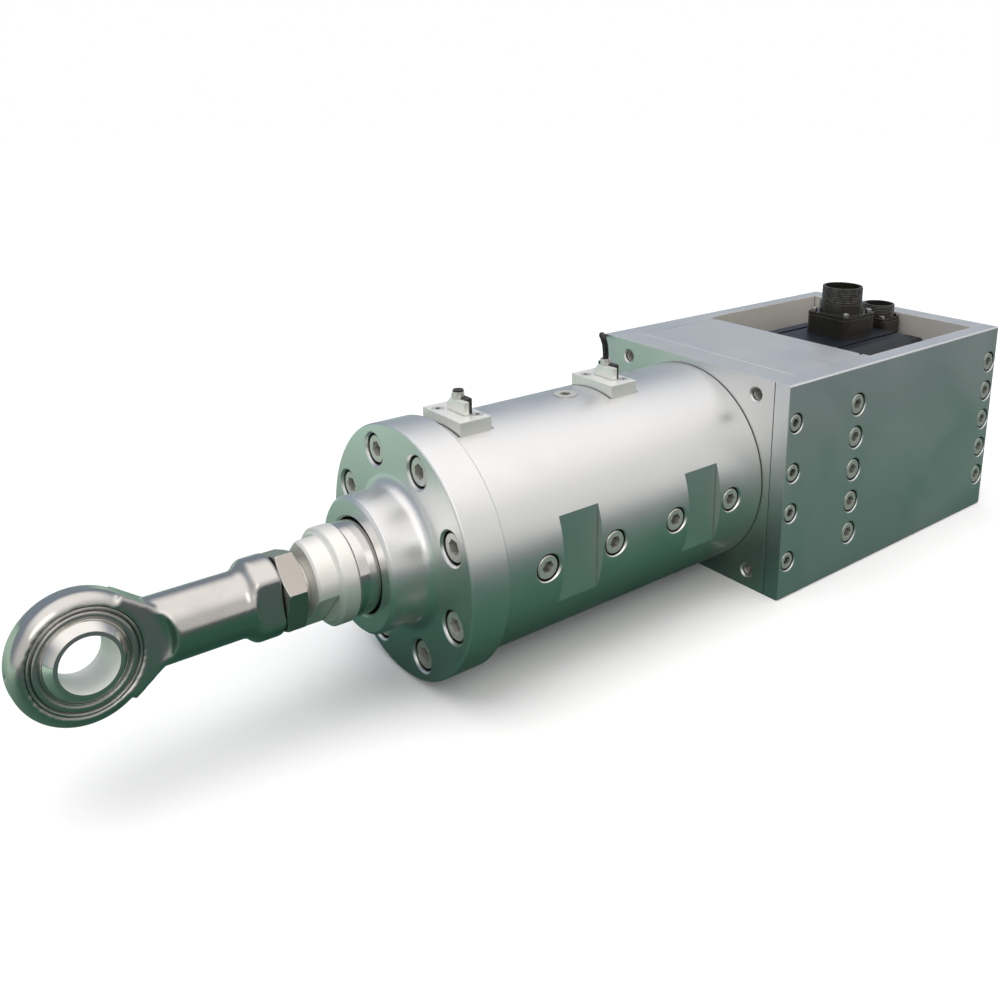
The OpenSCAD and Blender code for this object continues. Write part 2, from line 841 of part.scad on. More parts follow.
// Rubber star between the jaws
module coupling_spider() {
    color([0.7, 0.15, 0.1])
        translate([jaw_front_x - jaw_l + 0.5, 0, 0]) rotate([30, 0, 0]) rotate([0, 90, 0])
            linear_extrude(jaw_l - 1) {
                sectors(6, 12.5, jaw_inner_r - 2, coupling_d / 2 - 1);
                difference() {
                    circle(r = jaw_inner_r - 1);
                    circle(r = 6);
                }
            }
}

module motor_shaft() {
    color(steel)
        union() {
            bar(motor_back_x + 1, jaw_back_x - 0.5 + over, motor_shaft_d);
            taper(jaw_back_x + 0.49, jaw_back_x + over + 0.5, motor_shaft_d, motor_shaft_d - 2);
        }
}

// Ball nut with its flange
module ball_nut() {
    color(steel)
        difference() {
            union() {
                bar(nut_start_x, carriage_x, nut_flange_d);
                bar(carriage_x - over, nut_end_x - 1, nut_d - 2 * press);
            }
            bar(nut_start_x - over, nut_end_x + over, screw_d + 2 * running + 0.08);
            around(6, nut_pcd / 2, 30) bar(nut_start_x - over, carriage_x + over, nut_screw_d + 2 * fit);
        }
}

module nut_screws() {
    color(bright)
        around(6, nut_pcd / 2, 30)
            translate([nut_start_x, 0, 0]) rotate([0, -90, 0]) socket_screw(nut_screw_d, nut_screw_l);
}

// Carriage that joins ball nut and rod and slides along the key
module carriage() {
    color(satin)
        difference() {
            union() {
                bar(carriage_x, carriage_x + carriage_l, waist_d);
                bar(carriage_x, carriage_x + 22, carriage_d);
                bar(carriage_x + carriage_l - 22, carriage_x + carriage_l, carriage_d);
            }
            bar(carriage_x - over, nut_end_x, nut_d);
            bar(nut_end_x - over, carriage_x + carriage_l + over, rod_d + 2 * press);
            block([carriage_x - over, key_inner_y - 0.5, -key_w / 2 - running],
                  [carriage_x + carriage_l + over, tube_d, key_w / 2 + running]);
            around(6, nut_pcd / 2, 30) bar(carriage_x - over, carriage_x + 16, nut_screw_d + 2 * fit);
        }
}

// Hollow rod, closed and bored for the adapter's stud at its front end
module piston_rod() {
    color(bright)
        difference() {
            union() {
                bar(rod_start_x + 0.2, rod_end_x - 1, rod_d);
                taper(rod_end_x - 1.01, rod_end_x, rod_d, rod_d - 2);
            }
            bar(rod_start_x - over, rod_end_x - 60, rod_bore);
            bar(rod_end_x - 40, rod_end_x + over, rod_stud_d + 2 * press);
        }
}

// Wrench flats at a turned angle, cut from whatever reaches past them
module flats(x0, x1, clock) {
    for (turn = [0, 180])
        rotate([clock + turn, 0, 0])
            block([x0, flats_w / 2, -rod_d], [x1, 2 * rod_d, rod_d]);
}

// Adapter with a stud for the rod, a collar, a boss and a stud for the rod end
module rod_adapter() {
    color([0.9, 0.9, 0.88])
        difference() {
            turned()
                polygon([
                    [0, rod_end_x - 38], [rod_stud_d / 2, rod_end_x - 38], [rod_stud_d / 2, rod_end_x],
                    [collar_d / 2 - 0.6, rod_end_x], [collar_d / 2, rod_end_x + 0.6],
                    [collar_d / 2, adapter_x - 1.2], [collar_d / 2 - 1.2, adapter_x],
                    [boss_d / 2 + 1.5, adapter_x], [boss_d / 2, adapter_x + 1.5],
                    [boss_d / 2, boss_x - 1.5], [boss_d / 2 - 1.5, boss_x],
                    [rod_thread / 2, boss_x], [rod_thread / 2, shoulder_x + 44],
                    [rod_thread / 2 - 2, shoulder_x + 46], [0, shoulder_x + 46]
                ]);
            flats(adapter_x + 1.5, boss_x + over, adapter_clock);
        }
}

// Jam nut, chamfered at both faces
module jam_nut() {
    corner_d = jam_af / cos(30);
    color(steel)
        difference() {
            intersection() {
                translate([jam_x + 0.05, 0, 0]) rotate([jam_clock, 0, 0]) rotate([0, 90, 0])
                    cylinder(h = jam_t - 0.1, d = corner_d, $fn = 6);
                union() {
                    taper(jam_x, jam_x + jam_edge, jam_af - 2, corner_d + 0.2);
                    bar(jam_x + jam_edge - 0.01, shoulder_x - jam_edge + 0.01, corner_d + 0.2);
                    taper(shoulder_x - jam_edge, shoulder_x, corner_d + 0.2, jam_af - 2);
                }
            }
            bar(jam_x - over, shoulder_x + over, rod_thread + 2 * fit);
        }
}

// Point where a line from p touches a circle of radius r round the origin
function touch(p, r) =
    let (a = atan2(p[1], p[0]), b = acos(r / norm(p))) [r * cos(a - b), r * sin(a - b)];

// Head of the rod end about its own eye, with a rounded rim
module head() {
    rim = 8;
    r = head_d / 2;
    rotate_extrude()
        union() {
            translate([race_d / 2, -head_w / 2]) square([r - rim - race_d / 2 + 0.01, head_w]);
            translate([race_d / 2, -head_w / 2 + rim]) square([r - race_d / 2, head_w - 2 * rim]);
            for (side = [-1, 1])
                intersection() {
                    translate([r - rim, side * (head_w / 2 - rim)]) circle(r = rim);
                    translate([race_d / 2, -head_w]) square([head_d, 2 * head_w]);
                }
        }
}

// Neck between head and shank, its sides tangent to the head
module neck() {
    tip = [-38, 17];
    top = touch([tip[0], tip[1]], head_d / 2);
    linear_extrude(head_w, center = true)
        difference() {
            polygon([[0, 0], [top[0], top[1]], tip, [tip[0], -tip[1]], [top[0], -top[1]]]);
            circle(d = race_d);
        }
}

// Cuts the shank back to the head's faces with a sloped run-out
module neck_cut() {
    rotate_extrude()
        polygon([[0, head_w / 2], [39, head_w / 2], [42, 14], [46, shank_d / 2 + 1], [46, 40], [0, 40]]);
}

// Rod end: shoulder with wrench flats, shank, neck and head
module rod_end() {
    color(bright)
        difference() {
            union() {
                turned()
                    polygon([
                        [0, shoulder_x], [shoulder_d / 2 - 1, shoulder_x], [shoulder_d / 2, shoulder_x + 1],
                        [shoulder_d / 2, shoulder_x + 14], [shoulder_d / 2 - 1.5, shoulder_x + 16],
                        [shank_d / 2 + 1, shoulder_x + 18.5], [shank_d / 2, shoulder_x + 21],
                        [shank_d / 2, eye_x - 30], [0, eye_x - 30]
                    ]);
                translate([eye_x, 0, 0]) rotate([eye_clock - 90, 0, 0]) {
                    head();
                    neck();
                }
            }
            for (side = [-1, 1])
                translate([eye_x, 0, 0]) rotate([eye_clock - 90, 0, 0]) scale([1, 1, 1])
                    mirror([0, 0, side > 0 ? 0 : 1]) neck_cut();
            translate([eye_x, 0, 0]) rotate([eye_clock - 90, 0, 0])
                cylinder(h = 2 * head_w, d = race_d, center = true);
            bar(shoulder_x - over, shoulder_x + 50, rod_thread + 2 * fit);
            flats(shoulder_x - over, shoulder_x + 17, eye_clock);
            translate([eye_x + head_d / 2 - 4, 0, 0]) bar(-6, 6, 4);
        }
}

// Race pressed into the head, hollowed for the ball
module eye_race() {
    seat_r = ball_d / 2 + 0.05;
    race_w = head_w - 1;
    color(steel)
        translate([eye_x, 0, 0]) rotate([eye_clock - 90, 0, 0])
            difference() {
                cylinder(h = race_w, d = race_d - 2 * press, center = true);
                sphere(r = seat_r);
                for (side = [-1, 1])
                    translate([0, 0, side * (race_w / 2 - 0.5)])
                        difference() {
                            cylinder(h = 1.2, d = race_d - 3, center = true);
                            cylinder(h = 3, d = race_d - 5, center = true);
                        }
            }
}

// Bored ball of the rod end
module eye_ball() {
    color(bright)
        translate([eye_x, 0, 0]) rotate([eye_clock - 90, 0, 0])
            difference() {
                intersection() {
                    sphere(d = ball_d);
                    cylinder(h = ball_w, d = ball_d + 2, center = true);
                }
                cylinder(h = ball_w + 2, d = eye_bore, center = true);
            }
}

// Copies a child to the motor's four fixing holes
module motor_corners() {
    for (sy = [-1, 1], sz = [-1, 1])
        translate([0, sy * motor_screw_at, sz * motor_screw_at]) children();
}

// Square flange of the motor with its pilot
module motor_flange() {
    color(black)
        difference() {
            union() {
                translate([motor_back_x, 0, 0]) rotate([90, 0, 90])
                    linear_extrude(motor_flange_t) round_square(motor_w, motor_w, 9);
                bar(motor_mount_x - over, motor_mount_x + motor_pilot_l - 0.3, motor_pilot_d);
            }
            bar(motor_back_x - over, motor_front_x, motor_shaft_d + 2);
            bar(motor_mount_x - 1, motor_front_x, coupling_d + 6);
            motor_corners() bar(motor_back_x - over, motor_front_x, large_d + 2 * fit);
        }
}

// Outline of the motor seen along the rod: chamfered, with grooves along it
module motor_outline(w, c) {
    h = w / 2;
    difference() {
        polygon([
            [h - c, h], [c - h, h], [-h, h - c], [-h, c - h],
            [c - h, -h], [h - c, -h], [h, c - h], [h, h - c]
        ]);
        for (turn = [0 : 90 : 270], g = [-1, 1])
            rotate(turn) translate([g * motor_groove_y, h]) square([3.5, 5], center = true);
    }
}

// Motor body with ribs between cooling grooves and recessed corners
module motor_body() {
    color(black)
        difference() {
            translate([encoder_front_x, 0, 0]) rotate([90, 0, 90])
                linear_extrude(motor_l) motor_outline(motor_w, motor_chamfer);
            motor_corners() bar(motor_back_x - 26, motor_back_x + over, socket_head_d(large_d) + 5);
            for (turn = [45 : 90 : 315], s = [-9, 0, 9])
                rotate([turn, 0, 0])
                    block([encoder_front_x - over, s - 1.5, corner_face - 2],
                          [motor_back_x - 34, s + 1.5, motor_w]);
            bar(motor_back_x - 3, motor_back_x + over, motor_shaft_d + 2);
        }
}

// Cover over the motor's encoder, its back edge chamfered
module encoder_cover() {
    h = encoder_w / 2;
    color(black)
        intersection() {
            translate([encoder_back_x, 0, 0]) rotate([90, 0, 90])
                linear_extrude(encoder_front_x - encoder_back_x)
                    polygon([
                        [h - 28, h], [28 - h, h], [-h, h - 28], [-h, 28 - h],
                        [28 - h, -h], [h - 28, -h], [h, 28 - h], [h, h - 28]
                    ]);
            union() {
                taper(encoder_back_x, encoder_back_x + 3.01, encoder_w * 1.2, encoder_w * 1.35);
                bar(encoder_back_x + 3, encoder_front_x, encoder_w * 1.35);
            }
        }
}

module motor_screws() {
    color(bright)
        motor_corners()
            translate([motor_back_x, 0, 0]) rotate([0, -90, 0])
                socket_screw(large_d, motor_flange_t + 10);
}

// Raised box under a connector, open for its wires
module connector_box(x, z, h, width_y, base, thread_d, at, screw) {
    translate([x, 0, z])
        difference() {
            linear_extrude(h) round_square(base, width_y, base / 6.5);
            translate([0, 0, 4]) cylinder(h = h, d = thread_d - 8);
            connector_corners(at) translate([0, 0, h - 6]) cylinder(h = 7, d = screw + 2 * fit);
        }
}

// Copies a child to the four screws of a connector
module connector_corners(at) {
    for (sx = [-1, 1], sy = [-1, 1])
        translate([sx * at, sy * at, 0]) children();
}

// Round connector: square foot, collar, threaded mouth, hollow inside
module connector_shell(foot, thread_d, collar_d, collar_h, mouth_h, at, screw) {
    wall = 2;
    difference() {
        union() {
            linear_extrude(connector_foot_t) round_square(foot, foot, foot / 10);
            cylinder(h = connector_foot_t + collar_h, d = collar_d);
            cylinder(h = connector_foot_t + collar_h + mouth_h, d = thread_d);
        }
        translate([0, 0, -over]) cylinder(h = 50, d = thread_d - 2 * wall - 2);
        translate([0, 0, connector_foot_t + collar_h]) cylinder(h = 50, d = thread_d - 2 * wall);
        connector_corners(at) translate([0, 0, -over]) cylinder(h = 20, d = screw + 2 * fit);
    }
}

// Insulator disc with contact pins
module insert(d, h, pins, pin_circle, pin_d, pin_h) {
    cylinder(h = h, d = d);
    for (i = [0 : pins - 1])
        rotate(45 + i * 360 / pins) translate([pin_circle / 2, 0, 0]) cylinder(h = h + pin_h, d = pin_d);
}

module power_box() {
    color(black)
        connector_box(power_x, power_z, power_base_h, power_base, power_base,
                      power_thread_d, power_screw_at, power_screw_d);
}

module power_shell() {
    color(black)
        translate([power_x, 0, power_z + power_base_h])
            connector_shell(power_base - 1.5, power_thread_d, power_thread_d + power_collar, 9, 14.5,
                            power_screw_at, power_screw_d);
}

module power_insert() {
    color(black)
        translate([power_x, 0, power_z + power_base_h])
            insert(power_thread_d - 6 - 2 * fit, 8, 4, 14, 3.6, 8);
}

module encoder_box() {
    color(black)
        connector_box(encoder_x, encoder_z, encoder_base_h, encoder_base + 3, encoder_base,
                      encoder_thread_d, encoder_screw_at, encoder_screw_d);
}

module encoder_shell() {
    color(black)
        translate([encoder_x, 0, encoder_z + encoder_base_h])
            connector_shell(encoder_base, encoder_thread_d, encoder_thread_d + 1, 2.5, 9,
                            encoder_screw_at, encoder_screw_d);
}

module encoder_insert() {
    color(black)
        translate([encoder_x, 0, encoder_z + encoder_base_h])
            insert(encoder_thread_d - 6 - 2 * fit, 4, 8, 13, 1.6, 5);
}

// Small screws in the corners of both connectors
module connector_screws() {
    color(steel) {
        translate([power_x, 0, power_z + power_base_h + connector_foot_t])
            connector_corners(power_screw_at) socket_screw(power_screw_d, 8);
        translate([encoder_x, 0, encoder_z + encoder_base_h + connector_foot_t])
            connector_corners(encoder_screw_at) socket_screw(encoder_screw_d, 8);
    }
}

// Countersunk screw that points down, its flat face at the origin
module flat_screw(d, l, head_d, gap = 0) {
    sink = (head_d - d) / 2;
    translate([0, 0, -l]) cylinder(h = l, d = d + 2 * gap);
    translate([0, 0, -sink]) cylinder(h = sink + 0.001, d1 = d + 2 * gap, d2 = head_d + 2 * gap);
}

// Block that holds a position sensor on the tube, with an upright fin
module sensor_block(x) {
    translate([x, 0, 0])
        difference() {
            union() {
                block([-block_l / 2, -block_w / 2, seat_z], [block_l / 2, block_w / 2, block_top_z]);
                translate([fin_front, 0, block_top_z - 0.01]) rotate([90, 0, -90])
                    linear_extrude(fin_t)
                        polygon([
                            [-fin_side_y[1], 0], [-fin_side_y[0], 0], [-fin_side_y[0], fin_h - 4],
                            [-fin_side_y[0] - 4, fin_h], [-fin_side_y[1], fin_h]
                        ]);
            }
            translate([stem_x, 0, 0]) cylinder(h = block_top_z, d = stem_d + 2 * fit);
            for (at = block_screws)
                translate([at[0], at[1], block_top_z]) {
                    flat_screw(block_screw_d, block_top_z, block_screw_head_d, fit);
                    cylinder(h = over, d = block_screw_head_d + 2 * fit);
                }
        }
}

module sensor_block_front() { color(satin) sensor_block(sensor_xs[1]); }
module sensor_block_rear() { color(satin) sensor_block(sensor_xs[0]); }

// Position sensor: black head behind the fin and a stem through the block
module sensor(x) {
    switch_front = fin_front - fin_t - 0.05;
    switch_back = switch_front - switch_t;
    translate([x, 0, 0]) {
        block([switch_back, switch_side_y[0], block_top_z], [switch_front, switch_side_y[1], gland_z]);
        block([switch_back + 0.8, -2, block_top_z - 1.5], [switch_front - 0.4, 2, block_top_z + 1]);
        translate([stem_x, 0, tube_bore / 2 + 1])
            cylinder(h = block_top_z - 0.6 - tube_bore / 2 - 1, d = stem_d);
    }
}

module sensor_front() { color(black) sensor(sensor_xs[1]); }
module sensor_rear() { color(black) sensor(sensor_xs[0]); }

// Round nuts at the cable exits, which reach down beside the head onto the fin
module sensor_nuts() {
    color(bright)
        for (x = sensor_xs)
            translate([x + gland_x, 0, 0])
                difference() {
                    union() {
                        translate([0, 0, gland_z]) cylinder(h = gland_h, d = gland_d);
                        intersection() {
                            translate([0, 0, block_top_z + fin_h]) cylinder(h = gland_h, d = gland_d);
                            block([fin_front - fin_t - gland_x, -gland_d, 0], [gland_d, gland_d, 2 * gland_z]);
                        }
                    }
                    translate([0, 0, gland_z - over]) cylinder(h = gland_h + 2 * over, d = cable_d + 2 * fit);
                }
}

// Cap that closes the exit of the front sensor
module sensor_cap() {
    color(black)
        translate([sensor_xs[1] + gland_x, 0, gland_z]) {
            cylinder(h = gland_h, d = cable_d);
            translate([0, 0, gland_h]) cylinder(h = 1.2, d = gland_d - 1);
        }
}

// Screws that hold the sensor blocks, flush with the blocks
module sensor_screws() {
    color(bright)
        for (x = sensor_xs, at = block_screws)
            translate([x + at[0], at[1], block_top_z])
                difference() {
                    flat_screw(block_screw_d, block_screw_l, block_screw_head_d);
                    translate([0, 0, -2.2]) cylinder(h = 4, d = 3.4, $fn = 6);
                }
}

// Ring of points round one place on a swept cord
function cord_ring(route, i, d, sides) =
    let (
        last = len(route) - 1,
        a = route[max(i - 1, 0)],
        b = route[min(i + 1, last)],
        t = (b - a) / norm(b - a),
        side = cross(t, cord_reference),
        u = side / norm(side),
        v = cross(t, u)
    ) [for (k = [0 : sides - 1]) route[i] + d / 2 * (cos(k * 360 / sides) * u + sin(k * 360 / sides) * v)];

// Cord as one closed body swept along a route
module cord(route, d, sides) {
    rings = len(route);
    points = [for (i = [0 : rings - 1]) each cord_ring(route, i, d, sides)];
    walls = [
        for (i = [0 : rings - 2], k = [0 : sides - 1])
            let (a = i * sides, b = a + sides, next = (k + 1) % sides)
            [a + k, a + next, b + next, b + k]
    ];
    start = [[for (k = [sides - 1 : -1 : 0]) k]];
    end = [[for (k = [0 : sides - 1]) (rings - 1) * sides + k]];
    polyhedron(points, concat(walls, start, end));
}

// Points along a smooth curve through the route's points
function spline_point(p0, p1, p2, p3, t) =
    let (
        square_part = 2 * p0 - 5 * p1 + 4 * p2 - p3,
        cube_part = 3 * p1 - p0 - 3 * p2 + p3
    ) (2 * p1 + (p2 - p0) * t + square_part * t * t + cube_part * t * t * t) / 2;
function smooth(route, steps) =
    let (last = len(route) - 1)
    concat(
        [
            for (i = [0 : last - 1], k = [0 : steps - 1])
                let (before = route[max(i - 1, 0)], after = route[min(i + 2, last)])
                spline_point(before, route[i], route[i + 1], after, k / steps)
        ],
        [route[last]]
    );

module sensor_cable() {
    color(black) {
        cord(smooth(cable_route, 2), cable_d, cable_sides);
        cord(smooth(plug_route, 2), cable_d, cable_sides);
    }
}

// The rest of the cable, coiled on the ground behind the box
module sensor_cable_coil() {
    color(black)
        translate(coil_centre)
            rotate_extrude()
                translate([coil_turn_d / 2, 0]) round_square(coil_width, coil_height, 3);
}

// Plug at the cable's end
module sensor_cable_plug() {
    color(black)
        translate(plug_route[len(plug_route) - 1]) rotate([0, -90, 0]) {
            cylinder(h = 12, d1 = cable_d + 2, d2 = plug_d);
            translate([0, 0, 12]) cylinder(h = plug_l - 12, d = plug_d);
        }
}

side_plate_left();
side_plate_right();
front_plate();
motor_plate();
rear_plate();
top_cover();
bottom_cover();
front_column_screws();
box_screws();
tube();
tube_screws();
guide_key();
guide_screws();
port_plug();
front_flange();
flange_screws();
guide_bush();
rod_wiper();
bearing_housing();
housing_screws();
bearing_outer_rings();
bearing_inner_rings();
bearing_balls_set();
lock_nut();
ball_screw();
coupling_hub_screw();
coupling_spider();
coupling_hub_motor();
motor_shaft();
ball_nut();
nut_screws();
carriage();
piston_rod();
rod_adapter();
jam_nut();
rod_end();
eye_race();
eye_ball();
motor_flange();
motor_body();
encoder_cover();
motor_screws();
power_box();
power_shell();
power_insert();
encoder_box();
encoder_shell();
encoder_insert();
connector_screws();
sensor_block_front();
sensor_block_rear();
sensor_front();
sensor_rear();
sensor_nuts();
sensor_cap();
sensor_screws();
sensor_cable();
sensor_cable_coil();
sensor_cable_plug();
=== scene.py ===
# %% [markdown]
# # Electric linear actuator
# A motor in an open plate box turns a ball screw, and the screw pushes a polished rod
# with a spherical rod end out of a turned tube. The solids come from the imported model.
# This scene dresses them: it gives each one its finish, winds the sensor's cable into
# a real coil, cuts threads that the solids leave plain, and sets the studio.

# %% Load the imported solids
import json
import math

import bmesh
import bpy
from mathutils import Matrix, Vector

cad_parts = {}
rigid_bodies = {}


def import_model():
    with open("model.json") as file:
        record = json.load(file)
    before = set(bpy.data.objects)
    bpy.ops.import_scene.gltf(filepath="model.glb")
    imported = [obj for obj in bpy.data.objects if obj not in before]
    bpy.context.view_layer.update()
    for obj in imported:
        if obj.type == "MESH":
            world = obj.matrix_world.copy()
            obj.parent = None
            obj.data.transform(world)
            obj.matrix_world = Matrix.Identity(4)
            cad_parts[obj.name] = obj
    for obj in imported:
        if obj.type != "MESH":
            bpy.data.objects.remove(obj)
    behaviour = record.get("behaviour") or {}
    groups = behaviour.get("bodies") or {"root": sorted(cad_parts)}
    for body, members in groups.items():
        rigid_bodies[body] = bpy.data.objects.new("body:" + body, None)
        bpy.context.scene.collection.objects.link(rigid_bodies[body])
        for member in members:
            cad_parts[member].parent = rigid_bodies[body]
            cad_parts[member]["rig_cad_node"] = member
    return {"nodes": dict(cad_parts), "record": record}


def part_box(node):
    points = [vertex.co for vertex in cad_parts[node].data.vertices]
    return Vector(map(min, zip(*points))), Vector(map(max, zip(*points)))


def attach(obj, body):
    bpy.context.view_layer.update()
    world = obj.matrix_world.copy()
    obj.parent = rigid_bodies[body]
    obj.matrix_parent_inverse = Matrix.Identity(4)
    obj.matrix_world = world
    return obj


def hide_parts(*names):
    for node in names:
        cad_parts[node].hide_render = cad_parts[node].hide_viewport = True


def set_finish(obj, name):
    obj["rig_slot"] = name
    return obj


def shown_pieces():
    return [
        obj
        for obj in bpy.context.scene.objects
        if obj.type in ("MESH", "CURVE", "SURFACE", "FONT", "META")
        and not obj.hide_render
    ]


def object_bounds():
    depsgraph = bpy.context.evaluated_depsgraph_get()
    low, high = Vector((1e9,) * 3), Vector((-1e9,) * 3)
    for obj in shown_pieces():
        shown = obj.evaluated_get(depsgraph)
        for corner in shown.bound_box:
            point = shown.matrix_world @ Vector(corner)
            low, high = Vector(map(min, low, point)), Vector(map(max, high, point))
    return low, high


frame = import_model()
cad_low, cad_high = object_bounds()
nodes = frame["nodes"]
scene = bpy.context.scene
mm = 0.001
print("solids:", len(nodes), "box in mm:", [round(v / mm) for v in cad_high - cad_low])

# %% [markdown]
# ## Camera
# The photograph looks down a little on the rod end, from the front left. A lens can be
# guessed by eye, but here the edges of the box and the circles of the flange fix both
# place and lens. The small shift keeps the optical axis where the photograph has it.

# %% Camera at the photograph's place
camera_place = Vector((570.37, 531.43, 296.07)) * mm
view_yaw, view_pitch, view_roll = 0.8695, 0.2505, 0.0086
lens_mm, sensor_mm = 36.58, 36
lens_shift = (-0.0715, -0.1595)
farthest_seen = 30

camera_data = bpy.data.cameras.new("camera")
camera_data.sensor_width = sensor_mm
camera_data.lens = lens_mm
camera_data.shift_x, camera_data.shift_y = lens_shift
camera_data.clip_end = farthest_seen
camera = bpy.data.objects.new("camera", camera_data)
scene.collection.objects.link(camera)
camera.location = camera_place

ahead = Vector((-math.cos(view_yaw) * math.cos(view_pitch),
                -math.sin(view_yaw) * math.cos(view_pitch),
                -math.sin(view_pitch)))
right = ahead.cross(Vector((0, 0, 1))).normalized()
up = right.cross(ahead)
turned_right = right * math.cos(view_roll) + up * math.sin(view_roll)
turned_up = up * math.cos(view_roll) - right * math.sin(view_roll)
camera.rotation_mode = "QUATERNION"
camera.rotation_quaternion = Matrix((turned_right, turned_up, -ahead)).transposed().to_quaternion()
scene.camera = camera
print("camera looks along", [round(v, 3) for v in ahead])

# %% [markdown]
# ## Sensor cable
# A limp signal cable leaves the rear sensor upward, drops behind the box and lies in a
# coil on the ground. A mesh tube would need its own sweep, so the cable is one curve
# with a round bevel. Its route is a few chosen points joined by a smooth curve, and
# the coil is a flat spiral inward and a second one outward on top of it.

# %% Smooth line through chosen points
def smooth_line(points, steps):
    """Points of a smooth curve that passes through the given ones."""
    line = []
    last = len(points) - 1
    for i in range(last):
        p0, p1 = points[max(i - 1, 0)], points[i]
        p2, p3 = points[i + 1], points[min(i + 2, last)]
        for k in range(steps):
            t = k / steps
            square_part = 2 * p0 - 5 * p1 + 4 * p2 - p3
            cube_part = 3 * p1 - p0 - 3 * p2 + p3
            line.append((2 * p1 + (p2 - p0) * t + square_part * t * t + cube_part * t ** 3) / 2)
    return line + [points[last]]


# %% Route and coil of the cable
cable_d = 4.5 * mm
cable_pitch = 4.6 * mm
coil_turn_d = 54 * mm
coil_rows = 5
route_steps = 4
drop_route = [Vector(p) * mm for p in (
    (88.7, 0, 99.4), (88.9, 0, 105), (89.6, 0, 110), (90.8, -0.2, 114),
    (90.6, -2.2, 116.6), (84.4, -9.3, 114.4), (73, -21.8, 110), (53.6, -43.4, 102.7),
    (34.2, -65, 95.6), (18.2, -83, 89.8), (8.8, -93.8, 86.1), (3.1, -100.3, 83.8),
    (-2.3, -105.6, 81.4), (-9, -109.6, 78), (-14, -113, 70), (-17, -116, 58),
    (-18.6, -117.6, 40), (-19, -118, 18), (-19, -118, -20), (-20, -118, -52),
    (-23, -119, -68), (-31, -121, -78), (-44, -125, -82), (-60, -129, -82.4),
    (-74, -132, -82.4), (-90, -133, -82.4),
)]
tail_route = [Vector(p) * mm for p in (
    (-90, -133, -77.8), (-104, -133, -77.8), (-118, -133, -79), (-134, -132, -81),
    (-150, -131, -81), (-166, -130, -80),
)]
coil_outer_r = coil_turn_d / 2 + cable_pitch * (coil_rows - 1) / 2
coil_centre = drop_route[-1] - Vector((0, coil_outer_r, 0))


def coil_line(points_per_turn=24):
    """Spiral inward on the ground, a step up, and a spiral outward on top."""
    turns = 2 * (coil_rows - 1)
    half = turns / 2
    line = []
    for i in range(1, turns * points_per_turn):
        turn = i / points_per_turn
        angle = math.tau * (turn + 0.25)
        radius = coil_outer_r - cable_pitch * (half - abs(turn - half))
        climb = min(max((turn - half) * 6 + 0.5, 0), 1)
        lift = cable_pitch * climb * climb * (3 - 2 * climb)
        around = Vector((radius * math.cos(angle), radius * math.sin(angle), lift))
        line.append(coil_centre + around)
    return line


cable_line = (smooth_line(drop_route, route_steps) + coil_line()
              + smooth_line(tail_route, route_steps))

# %% Cable as one bevelled curve
cable_curve = bpy.data.curves.new("cable", "CURVE")
cable_curve.dimensions = "3D"
cable_curve.bevel_depth = 1
cable_curve.bevel_resolution = 4
cable_curve.use_fill_caps = True
spline = cable_curve.splines.new("POLY")
spline.points.add(len(cable_line) - 1)
for point, place in zip(spline.points, cable_line):
    point.co = (*place, 1)
    point.radius = cable_d / 2
cable = bpy.data.objects.new("cable", cable_curve)
scene.collection.objects.link(cable)
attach(cable, "housing")
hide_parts("sensor_cable", "sensor_cable_coil")
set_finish(cable, "cable_sheath")
print("cable is", round(cable_d / mm, 1), "mm thick")

# %% [markdown]
# ## Cable plug
# The plug has a ribbed sleeve against kinks and a wider ring to grip it by. All of it
# is round, so its outline is drawn once and spun about the plug's axis. A stack of
# cylinders would leave hidden walls inside, and a spun outline leaves none.

# %% Helpers for a finished mesh and its piece
def finished_mesh(shape, name, smooth=False):
    """Mesh made from a bmesh, with its faces turned outward."""
    bmesh.ops.recalc_face_normals(shape, faces=shape.faces)
    mesh = bpy.data.meshes.new(name)
    shape.to_mesh(mesh)
    shape.free()
    if smooth:
        mesh.shade_smooth()
    return mesh


def piece(name, mesh, body, slot):
    """Links a finished mesh to the scene as a piece that rides on a body."""
    made = bpy.data.objects.new(name, mesh)
    scene.collection.objects.link(made)
    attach(made, body)
    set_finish(made, slot)
    return made


def spun_mesh(name, profile, centre, axis, steps=64):
    """Mesh of a profile of (radius, height) points spun round an axis through centre."""
    side = axis.orthogonal().normalized()
    shape = bmesh.new()
    ring = [shape.verts.new(centre + side * r + axis * h) for r, h in profile]
    edges = [shape.edges.new(pair) for pair in zip(ring, ring[1:])]
    bmesh.ops.spin(shape, geom=ring + edges, cent=centre, axis=axis,
                   angle=math.tau, steps=steps, use_merge=True)
    bmesh.ops.remove_doubles(shape, verts=shape.verts, dist=1e-6)
    return finished_mesh(shape, name, smooth=True)


# %% Cable plug with a ribbed sleeve
plug_start = tail_route[-1]
plug_axis = Vector((-1, 0, 0))
plug_profile = [(r * mm, h * mm) for r, h in (
    (2.3, 0), (2.9, 0), (3.0, 1.6), (2.6, 2.0), (3.3, 3.6), (2.9, 4.0), (3.7, 5.6),
    (3.3, 6.0), (4.2, 8.0), (4.5, 12.0), (4.5, 18.0), (4.2, 18.4), (4.2, 19.4),
    (4.9, 19.8), (4.9, 32.0), (4.5, 33.2), (3.9, 34.0), (3.4, 34.0), (3.4, 27.0),
    (0.0, 27.0),
)]
plug = piece("cable_plug", spun_mesh("cable_plug", plug_profile, plug_start, plug_axis),
             "housing", "insert_plastic")
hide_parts("sensor_cable_plug")
print("plug faces:", len(plug.data.polygons))

# %% [markdown]
# ## Strap
# A rubber strap holds the turns of the coil together. A plain ring would stand off
# from them, so its outline is an oval pushed toward a rounded box, as tight as a real
# strap. The outline is extruded to a band, and a modifier gives the band its wall.

